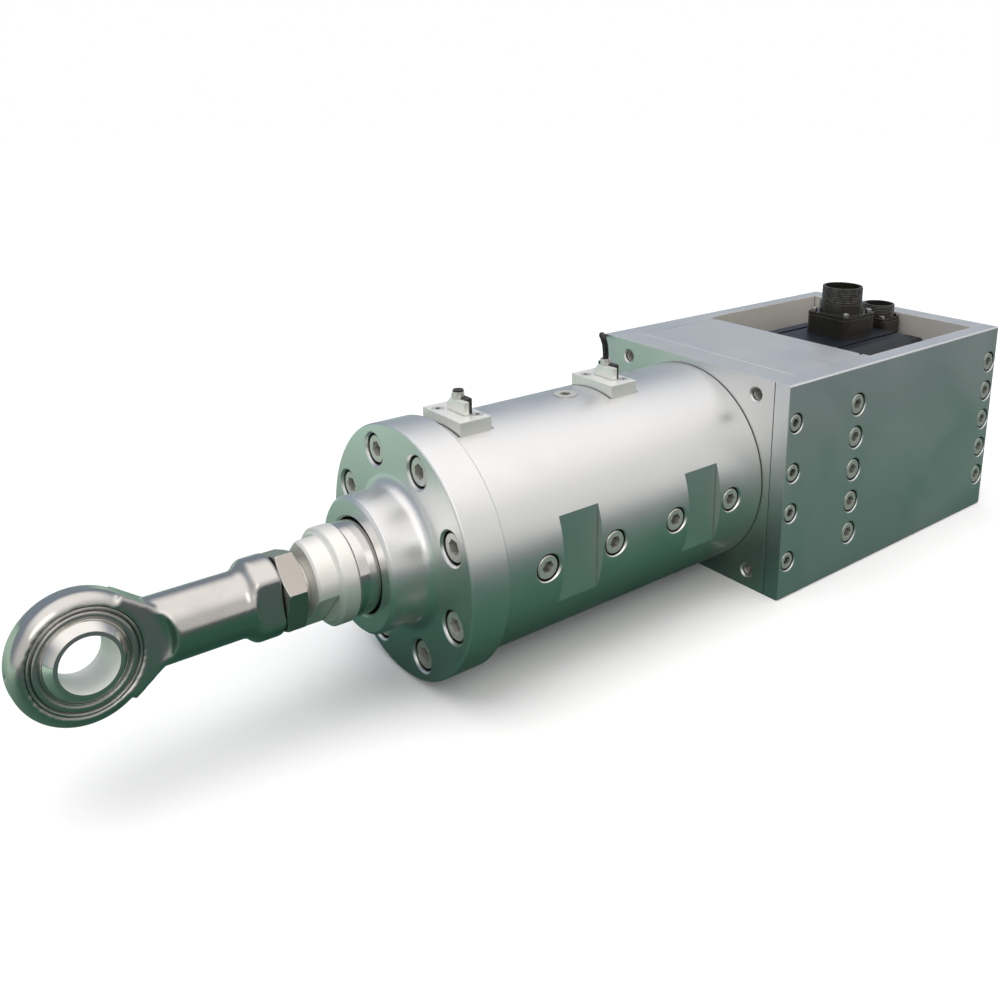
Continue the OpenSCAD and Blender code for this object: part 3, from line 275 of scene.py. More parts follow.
# %% Strap round the coil
strap_w = 9 * mm
strap_t = 0.5 * mm
strap_gap = 0.15 * mm
strap_angle = math.radians(205)
strap_steps = 40
side_power, top_power = 0.4, 0.55
out = Vector((math.cos(strap_angle), math.sin(strap_angle), 0))
along = Vector((-out.y, out.x, 0))
bundle_w = cable_pitch * coil_rows / 2 + strap_gap
bundle_low = -84.9 * mm
bundle_high = -75.3 * mm


def squared_off(value, power):
    """A sine or cosine pushed toward 1 or -1, which fills the corners of an oval."""
    return math.copysign(abs(value) ** power, value)


strap = bmesh.new()
strap_middle = coil_centre + out * coil_turn_d / 2
corners = []
for step in range(strap_steps):
    turn = math.tau * step / strap_steps
    wide = squared_off(math.cos(turn), side_power) * bundle_w
    tall = squared_off(math.sin(turn), top_power) * (bundle_high - bundle_low) / 2
    base = strap_middle + out * wide
    base.z = (bundle_high + bundle_low) / 2 + tall
    corners.append(strap.verts.new(base - along * strap_w / 2))
loop = [strap.edges.new((a, b)) for a, b in zip(corners, corners[1:] + corners[:1])]
wall = bmesh.ops.extrude_edge_only(strap, edges=loop)
far_side = [v for v in wall["geom"] if isinstance(v, bmesh.types.BMVert)]
bmesh.ops.translate(strap, verts=far_side, vec=along * strap_w)
cable_strap = piece("cable_strap", finished_mesh(strap, "cable_strap", smooth=True),
                    "housing", "seal_rubber")
strap_wall = cable_strap.modifiers.new("wall", "SOLIDIFY")
strap_wall.thickness = strap_t
strap_wall.offset = -1
print("strap faces:", len(cable_strap.data.polygons))

# %% [markdown]
# ## Connector threads
# The two round connectors on the motor carry an outer thread for their plugs. A bump
# would look flat against the white background, so each thread is a real ridge: a small
# triangle that is swept round the shell and climbs one pitch with each turn.

# %% Helper for the ridge of a thread
crest_at, ridge_w = 0.45, 0.9


def thread_ridge(name, corners, centre, axis, pitch, turns, steps):
    """Helical ridge: a small triangle swept round an axis, one pitch further each turn."""
    shape = bmesh.new()
    verts = [shape.verts.new(corner) for corner in corners]
    face = shape.faces.new(verts)
    bmesh.ops.spin(shape, geom=verts + list(face.edges) + [face], cent=centre, axis=axis,
                   dvec=Vector(axis) * (pitch / steps), angle=math.tau * turns,
                   steps=steps * turns, use_merge=False)
    return finished_mesh(shape, name)


# %% Threads of the power and encoder connectors
shell_steps = 48
shell_sunk, shell_crest = 0.05 * mm, 0.42 * mm


def shell_thread(name, root_d, foot, start, turns, pitch):
    """Ridge round an upright cylinder, its crest outward."""
    root_r = root_d / 2 - shell_sunk
    crest_r = root_d / 2 + shell_crest
    low = foot + Vector((0, 0, start))
    corners = (low + Vector((root_r, 0, 0)),
               low + Vector((crest_r, 0, pitch * crest_at)),
               low + Vector((root_r, 0, pitch * ridge_w)))
    return thread_ridge(name, corners, foot, (0, 0, 1), pitch, turns, shell_steps)


for label, (shell_low, shell_high), root_d, start, turns, pitch in (
        ("power_thread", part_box("power_shell"), 34.9 * mm, 12.6 * mm, 8, 1.6 * mm),
        ("encoder_thread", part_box("encoder_shell"), 28 * mm, 6.2 * mm, 5, 1.5 * mm)):
    foot = (shell_low + shell_high) / 2
    foot.z = shell_low.z
    piece(label, shell_thread(label, root_d, foot, start, turns, pitch),
          "housing", "connector_black")
    print(label, "turns:", turns, "at x in mm:", round(foot.x / mm))

# %% [markdown]
# ## Threads in the corner holes
# The four corner holes of the front plate are tapped, and some of them face the camera.
# The same ridge is swept inside each hole, this time with its crest toward the axis.

# %% Threads in the four corner holes of the front plate
corner_y, corner_z = 69 * mm, 71.5 * mm
corner_mouth_x = -2.4 * mm
corner_hole_d = 10.0 * mm
corner_deep = 18 * mm
corner_pitch = 1.5 * mm
corner_steps = 32
corner_gap, corner_crest = 0.02 * mm, 0.6 * mm


def hole_thread(name, mouth):
    """Ridge inside a hole that opens toward +X, its crest toward the hole's axis."""
    root_r = corner_hole_d / 2 - corner_gap
    crest_r = root_r - corner_crest
    corners = (mouth + Vector((0, 0, root_r)),
               mouth + Vector((-corner_pitch * crest_at, 0, crest_r)),
               mouth + Vector((-corner_pitch * ridge_w, 0, root_r)))
    turns = int(corner_deep / corner_pitch)
    return thread_ridge(name, corners, mouth, (-1, 0, 0), corner_pitch, turns, corner_steps)


hole_sides = ((-1, -1), (-1, 1), (1, -1), (1, 1))
for number, (side_y, side_z) in enumerate(hole_sides, 1):
    label = "corner_thread_" + str(number)
    mouth = Vector((corner_mouth_x, side_y * corner_y, side_z * corner_z))
    piece(label, hole_thread(label, mouth), "housing", "plain_steel")
print("threads in corner holes:", len(hole_sides))

# %% [markdown]
# ## Smoother shading on the solids
# The solids arrive as loose triangles. Welding their corners and splitting only the
# sharp edges lets turned faces shade smoothly while flats stay flat. Modifiers do this
# while the scene is drawn, so the vertices of the solids are never touched.

# %% Smooth shading by modifiers
weld_gap = 0.002 * mm
sharp_angle, tube_sharp_angle = 24, 13
for label, node in nodes.items():
    node.data.shade_smooth()
    if label == "rod_end":
        continue
    node.modifiers.new("weld", "WELD").merge_threshold = weld_gap
    split = node.modifiers.new("split", "EDGE_SPLIT")
    split.split_angle = math.radians(tube_sharp_angle if label == "tube" else sharp_angle)
    split.use_edge_sharp = False
    weigh = node.modifiers.new("weigh", "WEIGHTED_NORMAL")
    weigh.keep_sharp = True
print("smoothed solids:", len(nodes) - 1)

# %% [markdown]
# ## Forged rod end
# A rod end is forged and has no sharp edge. A bevel would fail on its many short
# edges, so this one solid is rebuilt from small even faces and smoothed, which rounds
# its edges by two or three millimetres.

# %% Forged look of the rod end
even = nodes["rod_end"].modifiers.new("even", "REMESH")
even.mode = "VOXEL"
even.voxel_size = 0.65 * mm
even.use_smooth_shade = True
soften = nodes["rod_end"].modifiers.new("soften", "SMOOTH")
soften.factor = 0.5
soften.iterations = 22
print("rod end modifiers:", [m.name for m in nodes["rod_end"].modifiers])

# %% [markdown]
# ## Effects that several finishes share
# Machined metal is never one flat colour: cutters leave fine lines, hands leave dull
# patches, and edges are rubbed bright, which here also paints an edge highlight. A
# painted shade darkens recesses. Each effect is a node group that gives a mask or a
# height, so each finish can use it at its own strength.

# %% A blank effect group
def effect(name, inputs, outputs):
    """New shader node group with named inputs and outputs, and its two end nodes."""
    tree = bpy.data.node_groups.new(name, "ShaderNodeTree")
    for label, value in inputs:
        kind = "NodeSocketVector" if isinstance(value, tuple) else "NodeSocketFloat"
        socket = tree.interface.new_socket(label, in_out="INPUT", socket_type=kind)
        socket.default_value = value
    for label in outputs:
        tree.interface.new_socket(label, in_out="OUTPUT", socket_type="NodeSocketFloat")
    return tree, tree.nodes.new("NodeGroupInput"), tree.nodes.new("NodeGroupOutput")


# %% Helpers for nodes and sums
def add_node(tree, kind, **settings):
    """New node with its properties set."""
    node = tree.nodes.new(kind)
    for key, value in settings.items():
        setattr(node, key, value)
    return node


def maths(tree, operation, *values, clamp=False):
    """Math node fed by sockets or numbers, given as its output."""
    node = add_node(tree, "ShaderNodeMath", operation=operation, use_clamp=clamp)
    for socket, value in zip(node.inputs, values):
        if isinstance(value, bpy.types.NodeSocket):
            tree.links.new(value, socket)
        else:
            socket.default_value = value
    return node.outputs[0]


# %% Helpers for places and noise
def object_place(tree):
    """Place of the shaded point in the piece's own coordinates."""
    return add_node(tree, "ShaderNodeTexCoord").outputs["Object"]


def place_parts(tree):
    """The same place as its X, Y and Z."""
    node = add_node(tree, "ShaderNodeSeparateXYZ")
    tree.links.new(object_place(tree), node.inputs[0])
    return node.outputs


def noise(tree, where, scale, detail, roughness=0.5, distortion=0.0, dimensions="3D"):
    """Mask of a noise over places, or with 1D over distances along a line."""
    node = add_node(tree, "ShaderNodeTexNoise", noise_dimensions=dimensions)
    node.inputs["Detail"].default_value = detail
    node.inputs["Roughness"].default_value = roughness
    node.inputs["Distortion"].default_value = distortion
    tree.links.new(where, node.inputs["W" if dimensions == "1D" else "Vector"])
    tree.links.new(scale, node.inputs["Scale"])
    return node.outputs["Fac"]


# %% Milled grain: fine straight lines
milled, start, end = effect("Milled grain", [("Fineness", 300.0), ("Lay", (1.0, 1.0, 1.0))],
                            ["Mask", "Height"])
line_gain, line_lift = 1.6, 0.5
lay = add_node(milled, "ShaderNodeVectorMath", operation="MULTIPLY")
milled.links.new(object_place(milled), lay.inputs[0])
milled.links.new(start.outputs["Lay"], lay.inputs[1])
lines = noise(milled, lay.outputs[0], start.outputs["Fineness"], detail=4, roughness=0.6)
milled.links.new(maths(milled, "MULTIPLY_ADD", lines, line_gain, line_lift, clamp=True),
                 end.inputs["Mask"])
milled.links.new(lines, end.inputs["Height"])
print("group:", milled.name)

# %% Turned grain: rings round the rod's axis
turned, start, end = effect("Turned grain", [("Rings per metre", 900.0)], ["Mask", "Height"])
parts = place_parts(turned)
across = maths(turned, "MULTIPLY", parts["Y"], parts["Y"])
upward = maths(turned, "MULTIPLY", parts["Z"], parts["Z"])
radius = maths(turned, "SQRT", maths(turned, "ADD", across, upward))
ring_place = maths(turned, "ADD", parts["X"], radius)
rings = noise(turned, ring_place, start.outputs["Rings per metre"],
              detail=5, roughness=0.65, dimensions="1D")
turned.links.new(rings, end.inputs["Mask"])
turned.links.new(rings, end.inputs["Height"])
print("group:", turned.name)

# %% Handling: dull patches and fine specks
handled, start, end = effect("Handling",
                             [("Patches per metre", 14.0), ("Specks per metre", 900.0)],
                             ["Patches", "Specks"])
touched = object_place(handled)
patches = noise(handled, touched, start.outputs["Patches per metre"],
                detail=6, roughness=0.62, distortion=0.6)
specks = noise(handled, touched, start.outputs["Specks per metre"], detail=2)
handled.links.new(patches, end.inputs["Patches"])
handled.links.new(specks, end.inputs["Specks"])
print("group:", handled.name)

# %% Edge wear and painted highlight: bright where edges are rubbed
edge_wear_and_highlight, start, end = effect("Edge wear and painted highlight", [("Width", 0.0008), ("Break up per metre", 260.0)],
                          ["Mask"])
bevel_samples = 4
edge_gain = 9.0
unrubbed, break_gain = 0.36, 5.0
round_edge = add_node(edge_wear_and_highlight, "ShaderNodeBevel", samples=bevel_samples)
edge_wear_and_highlight.links.new(start.outputs["Width"], round_edge.inputs["Radius"])
true_face = add_node(edge_wear_and_highlight, "ShaderNodeNewGeometry")
bend = add_node(edge_wear_and_highlight, "ShaderNodeVectorMath", operation="DOT_PRODUCT")
edge_wear_and_highlight.links.new(round_edge.outputs[0], bend.inputs[0])
edge_wear_and_highlight.links.new(true_face.outputs["Normal"], bend.inputs[1])
turned_away = maths(edge_wear_and_highlight, "SUBTRACT", 1.0, bend.outputs["Value"])
edge = maths(edge_wear_and_highlight, "MULTIPLY", turned_away, edge_gain, clamp=True)
broken = noise(edge_wear_and_highlight, object_place(edge_wear_and_highlight), start.outputs["Break up per metre"], detail=5)
bared = maths(edge_wear_and_highlight, "SUBTRACT", broken, unrubbed)
rubbed_and_lit = maths(edge_wear_and_highlight, "MULTIPLY", bared, break_gain, clamp=True)
edge_wear_and_highlight.links.new(maths(edge_wear_and_highlight, "MULTIPLY", edge, rubbed_and_lit), end.inputs["Mask"])
print("group:", edge_wear_and_highlight.name)

# %% Painted shade: dark where a recess is deep and narrow
painted_shade, start, end = effect("Painted shade", [("Reach", 0.003), ("Strength", 1.0)], ["Mask"])
unshaded_depth, depth_gain = 0.3, 2.2
hidden = add_node(painted_shade, "ShaderNodeAmbientOcclusion", samples=6)
painted_shade.links.new(start.outputs["Reach"], hidden.inputs["Distance"])
depth = maths(painted_shade, "SUBTRACT", 1.0, hidden.outputs["AO"])
deeper = maths(painted_shade, "SUBTRACT", depth, unshaded_depth)
steep = maths(painted_shade, "MULTIPLY", deeper, depth_gain, clamp=True)
painted_shade.links.new(maths(painted_shade, "MULTIPLY", steep, start.outputs["Strength"]), end.inputs["Mask"])
print("group:", painted_shade.name)

# %% [markdown]
# ## Finishes
# Each finish is one Principled shader. Its colour is blended by the masks above, its
# roughness moves round a middle value, and the grain enters as a slight bump. The
# Bevel node rounds the normals at edges, which gives metal its thin bright rims.

# %% A finish with its shader and rounded edges
def finish_sheet(name, metallic, edge_round=0.8 * mm):
    """New material, its Principled shader and the socket of its rounded normal."""
    made = bpy.data.materials.new(name)
    made.use_nodes = True
    tree = made.node_tree
    shader = tree.nodes["Principled BSDF"]
    shader.inputs["Metallic"].default_value = metallic
    rounded = add_node(tree, "ShaderNodeBevel", samples=bevel_samples)
    rounded.inputs["Radius"].default_value = edge_round
    return made, tree, shader, rounded.outputs[0]


def use_effect(tree, group, **values):
    """Places an effect group in a material with its own values."""
    node = add_node(tree, "ShaderNodeGroup", node_tree=group)
    for key, value in values.items():
        node.inputs[key.replace("_", " ")].default_value = value
    return node


# %% Helpers that blend colours, spread a mask and emboss
noise_low, noise_high = 0.3, 0.7


def blend_colour(tree, mask, first, second):
    """Colour between two others by a mask; each may be a tuple or a socket."""
    node = add_node(tree, "ShaderNodeMix", data_type="RGBA")
    tree.links.new(mask, node.inputs["Factor"])
    # A Mix node holds sockets for every type of value. These are the ones for colour.
    for socket, value in ((node.inputs[6], first), (node.inputs[7], second)):
        if isinstance(value, bpy.types.NodeSocket):
            tree.links.new(value, socket)
        else:
            socket.default_value = (*value, 1)
    return node.outputs[2]


def spread(tree, mask, low, high):
    """Maps a noise mask onto a range, for roughness."""
    node = add_node(tree, "ShaderNodeMapRange")
    node.inputs["From Min"].default_value = noise_low
    node.inputs["From Max"].default_value = noise_high
    node.inputs["To Min"].default_value = low
    node.inputs["To Max"].default_value = high
    tree.links.new(mask, node.inputs["Value"])
    return node.outputs[0]


def emboss(tree, shader, height, depth, normal, strength=0.6):
    """Feeds a height to the shader as a bump over the rounded normal."""
    node = add_node(tree, "ShaderNodeBump")
    node.inputs["Strength"].default_value = strength
    node.inputs["Distance"].default_value = depth
    tree.links.new(height, node.inputs["Height"])
    tree.links.new(normal, node.inputs["Normal"])
    tree.links.new(node.outputs[0], shader.inputs["Normal"])


# %% Signs of age and painted light that plates and turned metal share
# Painted shade: a dark colour laid into recesses, where less light falls.
painted_shade_colour = (0.035, 0.03, 0.025)
# The bright edge colour is partly wear and partly a painted highlight.
rubbed_and_highlight_colour = (0.95, 0.95, 0.95)
rubbed_and_highlight_w = 0.9 * mm
recess_reach, recess_shade_strength = 2.4 * mm, 0.95


def with_painted_shade(tree, base, reach, strength):
    """Colour darkened in recesses by painted shade."""
    recess_shade_node = use_effect(tree, painted_shade, Reach=reach, Strength=strength)
    return blend_colour(tree, recess_shade_node.outputs["Mask"], base, painted_shade_colour)


def with_wear_and_painted_light(tree, base):
    """Colour brightened at the edges, partly by wear and partly as a painted highlight,
    and darkened in recesses by painted shade.
    """
    edge_mask = use_effect(tree, edge_wear_and_highlight, Width=rubbed_and_highlight_w)
    rubbed_and_lit = blend_colour(tree, edge_mask.outputs["Mask"], base, rubbed_and_highlight_colour)
    return with_painted_shade(tree, rubbed_and_lit, recess_reach, recess_shade_strength)


# %% [markdown]
# ## Plate aluminium
# Plates like these are faced with a wide cutter, which leaves fine lines along its way
# and a satin that mirrors only softly. One even grey would look like plastic, so lines,
# dull patches and rubbed edges each come in through a mask; the bright edges are also a
# painted highlight, and a painted shade darkens recesses. The faces that look into the
# open bay are raw and pale, and a mask by place keeps the outside clear of that.

# %% Raw faces inside the open bay
bay_front_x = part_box("top_cover")[0].x - 0.5 * mm
raw_colour, raw_shade = (0.74, 0.71, 0.66), (0.58, 0.55, 0.50)
raw_rougher, raw_metal_lost = 0.25, 0.75


def inner_faces(tree, axis, limit):
    """One on the faces of a plate that look into the open bay, behind the cover."""
    parts = place_parts(tree)
    near = maths(tree, "LESS_THAN", maths(tree, "ABSOLUTE", parts[axis]), limit)
    behind = maths(tree, "LESS_THAN", parts["X"], bay_front_x)
    return maths(tree, "MULTIPLY", near, behind)


# %% Plate aluminium: side plates, end plates, cover and sensor blocks
plate_rough = (0.32, 0.42)
plate_line_rough = 0.06
plate_line_depth = 0.02 * mm


def plate_finish(name, colour, shade, lay, raw_axis=None, raw_limit=0.0, metallic=1.0):
    """Satin milled plate with fine lines, dull patches and edges bright with wear.
    The edges also carry a painted highlight, and recesses get painted shade.
    """
    made, tree, shader, rounded = finish_sheet(name, metallic)
    grain = use_effect(tree, milled, Fineness=900.0, Lay=lay)
    patches = use_effect(tree, handled, Patches_per_metre=11.0).outputs["Patches"]
    base = blend_colour(tree, patches, colour, shade)
    rough = maths(tree, "ADD", spread(tree, patches, *plate_rough),
                  maths(tree, "MULTIPLY", grain.outputs["Mask"], plate_line_rough))
    if raw_axis:
        raw = inner_faces(tree, raw_axis, raw_limit)
        base = blend_colour(tree, raw, base, blend_colour(tree, patches, raw_colour, raw_shade))
        rough = maths(tree, "ADD", rough, maths(tree, "MULTIPLY", raw, raw_rougher))
        lost = maths(tree, "MULTIPLY", raw, raw_metal_lost)
        tree.links.new(maths(tree, "SUBTRACT", 1.0, lost), shader.inputs["Metallic"])
    # Bright edges are partly wear and partly a painted highlight; recesses get painted shade.
    tree.links.new(with_wear_and_painted_light(tree, base), shader.inputs["Base Color"])
    tree.links.new(rough, shader.inputs["Roughness"])
    emboss(tree, shader, grain.outputs["Height"], plate_line_depth, rounded)
    return made


lines_along_x, lines_along_y = (0.04, 1.0, 1.0), (1.0, 0.04, 1.0)
lines_along_z = (1.0, 1.0, 0.04)
side_inner_y, rear_inner_x = 86.3 * mm, 276.3 * mm
along_box = plate_finish("plate along the box", (0.84, 0.85, 0.86), (0.76, 0.77, 0.78),
                         lines_along_x, "Y", side_inner_y)
across_box = plate_finish("plate across the box", (0.88, 0.88, 0.87), (0.80, 0.80, 0.79),
                          lines_along_y)
block_skin = plate_finish("sensor block", (0.96, 0.95, 0.90), (0.88, 0.87, 0.82),
                          lines_along_z, metallic=0.6)
rear_skin = plate_finish("rear plate", (0.86, 0.86, 0.86), (0.78, 0.78, 0.78),
                         lines_along_y, "X", rear_inner_x)
print("plate finishes:", [m.name for m in (along_box, across_box, block_skin, rear_skin)])

# %% [markdown]
# ## Turned aluminium
# Tube, flange and carriage come from the lathe, so their fine rings run round the
# rod's axis. The solid tube is made of flat strips that would show in its long
# highlight. More strips would help a little, but the direction of a round surface is
# known exactly, so the tube's normals are worked out from its axis.

# %% Exact normals for the tube
skin_depth = 0.12 * mm


def true_round(tree, radius, normal):
    """Normal that is exactly radial on a turned outside, and the given one elsewhere."""
    outward = add_node(tree, "ShaderNodeVectorMath", operation="MULTIPLY")
    outward.inputs[1].default_value = (0, 1, 1)
    tree.links.new(object_place(tree), outward.inputs[0])
    reach = add_node(tree, "ShaderNodeVectorMath", operation="LENGTH")
    tree.links.new(outward.outputs[0], reach.inputs[0])
    unit = add_node(tree, "ShaderNodeVectorMath", operation="NORMALIZE")
    tree.links.new(outward.outputs[0], unit.inputs[0])
    outside = maths(tree, "GREATER_THAN", reach.outputs["Value"], radius - skin_depth)
    # Inputs 4 and 5 and output 1 of a Mix node are its sockets for vectors.
    mixed = add_node(tree, "ShaderNodeMix", data_type="VECTOR")
    tree.links.new(outside, mixed.inputs["Factor"])
    tree.links.new(normal, mixed.inputs[4])
    tree.links.new(unit.outputs[0], mixed.inputs[5])
    return mixed.outputs[1]


# %% Turned metals: tube, flange, carriage, adapter, bush and steel
ring_depth = 0.03 * mm


def turned_finish(name, colour, shade, rough, metallic=1.0, outside_r=None):
    """Satin turned metal with fine rings round the rod's axis."""
    made, tree, shader, rounded = finish_sheet(name, metallic)
    if outside_r:
        rounded = true_round(tree, outside_r, rounded)
    grain = use_effect(tree, turned, Rings_per_metre=1500.0)
    patches = use_effect(tree, handled, Patches_per_metre=9.0).outputs["Patches"]
    ringed = blend_colour(tree, grain.outputs["Mask"], colour, shade)
    base = blend_colour(tree, patches, ringed, shade)
    # Bright edges are partly wear and partly a painted highlight; recesses get painted shade.
    tree.links.new(with_wear_and_painted_light(tree, base), shader.inputs["Base Color"])
    tree.links.new(spread(tree, patches, *rough), shader.inputs["Roughness"])
    emboss(tree, shader, grain.outputs["Height"], ring_depth, rounded)
    return made


turned_look = (0.92, 0.91, 0.90), (0.83, 0.83, 0.82), (0.31, 0.42)
turned_skin = turned_finish("turned aluminium", *turned_look)
tube_skin = turned_finish("tube aluminium", *turned_look, outside_r=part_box("tube")[1].y)
adapter_skin = turned_finish("turned adapter steel", (0.95, 0.93, 0.88), (0.86, 0.84, 0.79),
                             (0.32, 0.42), metallic=0.6)
bush_skin = turned_finish("bush bronze", (0.62, 0.44, 0.2), (0.5, 0.35, 0.16), (0.3, 0.4))
dull_steel = turned_finish("machined steel", (0.58, 0.55, 0.50), (0.44, 0.41, 0.37),
                           (0.26, 0.38))
print("turned finishes:", [m.name for m in (turned_skin, tube_skin, adapter_skin,
                                            bush_skin, dull_steel)])

# %% [markdown]
# ## Bright metals
# Screws, rod, rod end and ball are smooth, so nearly all of their look is mirrored
# room. They need no grain, only faint specks and painted shade in their recesses. The
# ball's bore is painted paler and duller than its outside, a painted light that
# brightens it. It could be a piece of its own, but a mask by distance from the bore's
# axis gives it its metal without cutting the ball.

# %% Mask for the bore of the ball
def inside_bore(tree, centre, axis, radius):
    """Mask that is 1 within a bore and 0 outside it."""
    away = add_node(tree, "ShaderNodeVectorMath", operation="SUBTRACT")
    away.inputs[1].default_value = centre
    tree.links.new(object_place(tree), away.inputs[0])
    across = add_node(tree, "ShaderNodeVectorMath", operation="CROSS_PRODUCT")
    across.inputs[1].default_value = axis
    tree.links.new(away.outputs[0], across.inputs[0])
    reach = add_node(tree, "ShaderNodeVectorMath", operation="LENGTH")
    tree.links.new(across.outputs[0], reach.inputs[0])
    return maths(tree, "LESS_THAN", reach.outputs["Value"], radius)


# %% Bright metals: screws, chromed rod, rod end and ball
# The bore's paler, less metallic paint is a painted light that brightens it.
bore_painted_light = (0.95, 0.94, 0.90)
bore_rough = 0.5
bore_metal_lost = 0.6
painted_shade_reach = 6 * mm


def bright_finish(name, colour, shade, rough, speck_depth, painted_shade_amount=0.0,
                  edge_round=0.35 * mm, metallic=1.0, bore=None):
    """Bright metal with faint specks and painted shade in recesses.
    A bore gets a paler, duller paint, a painted light that brightens it.
    """
    made, tree, shader, rounded = finish_sheet(name, metallic, edge_round)
    touch = use_effect(tree, handled, Patches_per_metre=30.0, Specks_per_metre=700.0)
    base = blend_colour(tree, touch.outputs["Patches"], colour, shade)
    # Painted shade: recesses are darkened.
    if painted_shade_amount:
        base = with_painted_shade(tree, base, painted_shade_reach, painted_shade_amount)
    dullness = spread(tree, touch.outputs["Patches"], *rough)
    if bore:
        # Painted light: inside the bore the colour is paler and the metal less.
        bore_mask = inside_bore(tree, *bore)
        base = blend_colour(tree, bore_mask, base, bore_painted_light)
        least = maths(tree, "MULTIPLY", bore_mask, bore_rough)
        dullness = maths(tree, "MAXIMUM", dullness, least)
        lost = maths(tree, "MULTIPLY", bore_mask, -bore_metal_lost)
        tree.links.new(maths(tree, "ADD", lost, 1.0), shader.inputs["Metallic"])
    tree.links.new(base, shader.inputs["Base Color"])
    tree.links.new(dullness, shader.inputs["Roughness"])
    emboss(tree, shader, touch.outputs["Specks"], speck_depth, rounded, strength=0.4)
    return made


bore_centre = (0.459, 0, 0)
bore_axis = (0, 0.98769, 0.15643)
bore_r = 15.2 * mm
screw_skin = bright_finish("zinc plated screws", (0.86, 0.84, 0.79), (0.66, 0.64, 0.59),
                           (0.2, 0.32), 0.03 * mm, painted_shade_amount=1.0, metallic=0.6)
rod_skin = bright_finish("ground chrome", (0.82, 0.79, 0.77), (0.70, 0.67, 0.65),
                         (0.07, 0.13), 0.003 * mm)
eye_skin = bright_finish("polished rod end", (0.68, 0.66, 0.63), (0.52, 0.50, 0.47),
                         (0.12, 0.2), 0.015 * mm, painted_shade_amount=0.8, edge_round=2.2 * mm)
ball_skin = bright_finish("polished ball", (0.80, 0.78, 0.74), (0.66, 0.64, 0.61),
                          (0.08, 0.14), 0.003 * mm, bore=(bore_centre, bore_axis, bore_r))
print("bright finishes:", [m.name for m in (screw_skin, rod_skin, eye_skin, ball_skin)])

# %% [markdown]
# ## Black finishes
# Motor, connectors, seals and cable are all black, yet no two are alike: the motor's
# coat has a bluish tint, a painted reflection of the sky, a connector has a warm gloss,
# and rubber is dull. Each turns paler where its edges are rubbed. The red star of the
# coupling is made in the same way.

# %% Black finishes: motor, connectors, plastic, rubber and cable
def black_finish(name, colour, shade, rough, wear, speck_depth):
    """Coat, plastic or rubber that turns to a paler tone at its edges."""
    made, tree, shader, rounded = finish_sheet(name, metallic=0.0, edge_round=0.4 * mm)
    touch = use_effect(tree, handled, Patches_per_metre=45.0, Specks_per_metre=1600.0)
    edge_mask = use_effect(tree, edge_wear_and_highlight, Width=0.6 * mm)
    base = blend_colour(tree, touch.outputs["Patches"], colour, shade)
    edged = blend_colour(tree, edge_mask.outputs["Mask"], base, wear)
    tree.links.new(edged, shader.inputs["Base Color"])
    tree.links.new(spread(tree, touch.outputs["Patches"], *rough), shader.inputs["Roughness"])
    emboss(tree, shader, touch.outputs["Specks"], speck_depth, rounded, strength=0.5)
    return made


# The motor coat's bluish tint is a painted reflection of the sky.
motor_skin = black_finish("motor coat", (0.004, 0.005, 0.010), (0.009, 0.012, 0.020),
                          (0.34, 0.5), (0.05, 0.06, 0.08), 0.04 * mm)
connector_skin = black_finish("connector coat", (0.014, 0.013, 0.010), (0.030, 0.027, 0.022),
                              (0.16, 0.28), (0.14, 0.13, 0.11), 0.015 * mm)
plastic_skin = black_finish("black plastic", (0.02, 0.02, 0.02), (0.035, 0.035, 0.035),
                            (0.35, 0.5), (0.06, 0.06, 0.06), 0.02 * mm)
rubber_skin = black_finish("seal rubber", (0.015, 0.015, 0.015), (0.03, 0.03, 0.03),
                           (0.55, 0.7), (0.05, 0.05, 0.05), 0.04 * mm)
cable_skin = black_finish("cable sheath", (0.01, 0.01, 0.01), (0.02, 0.02, 0.02),
                          (0.2, 0.3), (0.03, 0.03, 0.03), 0.015 * mm)
star_skin = black_finish("coupling star", (0.4, 0.03, 0.02), (0.3, 0.02, 0.015),
                         (0.45, 0.6), (0.5, 0.08, 0.06), 0.03 * mm)
print("black finishes:", [m.name for m in (motor_skin, connector_skin, plastic_skin,
                                           rubber_skin, cable_skin)], "and", star_skin.name)

# %% [markdown]
# ## Which solid wears which finish
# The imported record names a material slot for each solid. Most solids take the finish
# of their slot, and a few take their own.

# %% Finish of every solid and piece
slot_skins = {
    "plate_aluminium": along_box, "turned_aluminium": turned_skin, "screw_steel": screw_skin,
    "plain_steel": dull_steel, "eye_steel": eye_skin, "rod_chrome": rod_skin,
    "bush_bronze": bush_skin, "seal_rubber": rubber_skin, "motor_black": motor_skin,
    "connector_black": connector_skin, "insert_plastic": plastic_skin,
    "cable_sheath": cable_skin,
}
own_skins = {
    "front_plate": across_box, "rear_plate": rear_skin, "motor_plate": across_box,
    "top_cover": across_box, "bottom_cover": across_box, "sensor_block_front": block_skin,
    "sensor_block_rear": block_skin, "tube": tube_skin, "rod_adapter": adapter_skin,
    "eye_ball": ball_skin, "coupling_spider": star_skin, "power_box": connector_skin,
    "encoder_box": connector_skin, "connector_screws": dull_steel,
}
for part in frame["record"]["subparts"]:
    solid = nodes[part["node"]]
    solid.data.materials.clear()
    solid.data.materials.append(own_skins.get(part["node"], slot_skins[part["material_slot"]]))
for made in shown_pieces():
    if "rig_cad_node" not in made:
        made.data.materials.clear()
        made.data.materials.append(slot_skins[made["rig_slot"]])

# %% [markdown]
# ## Studio
# The photograph shows the actuator cut out on white, lit by a bright sky over a dark
# floor that its metal mirrors. A plain floor gives the soft shadow. It is white to the
# camera and a deep green grey to the metal, because polished metal takes nearly all
# of its look from what it mirrors. The sky is white overhead and a cool grey low down.

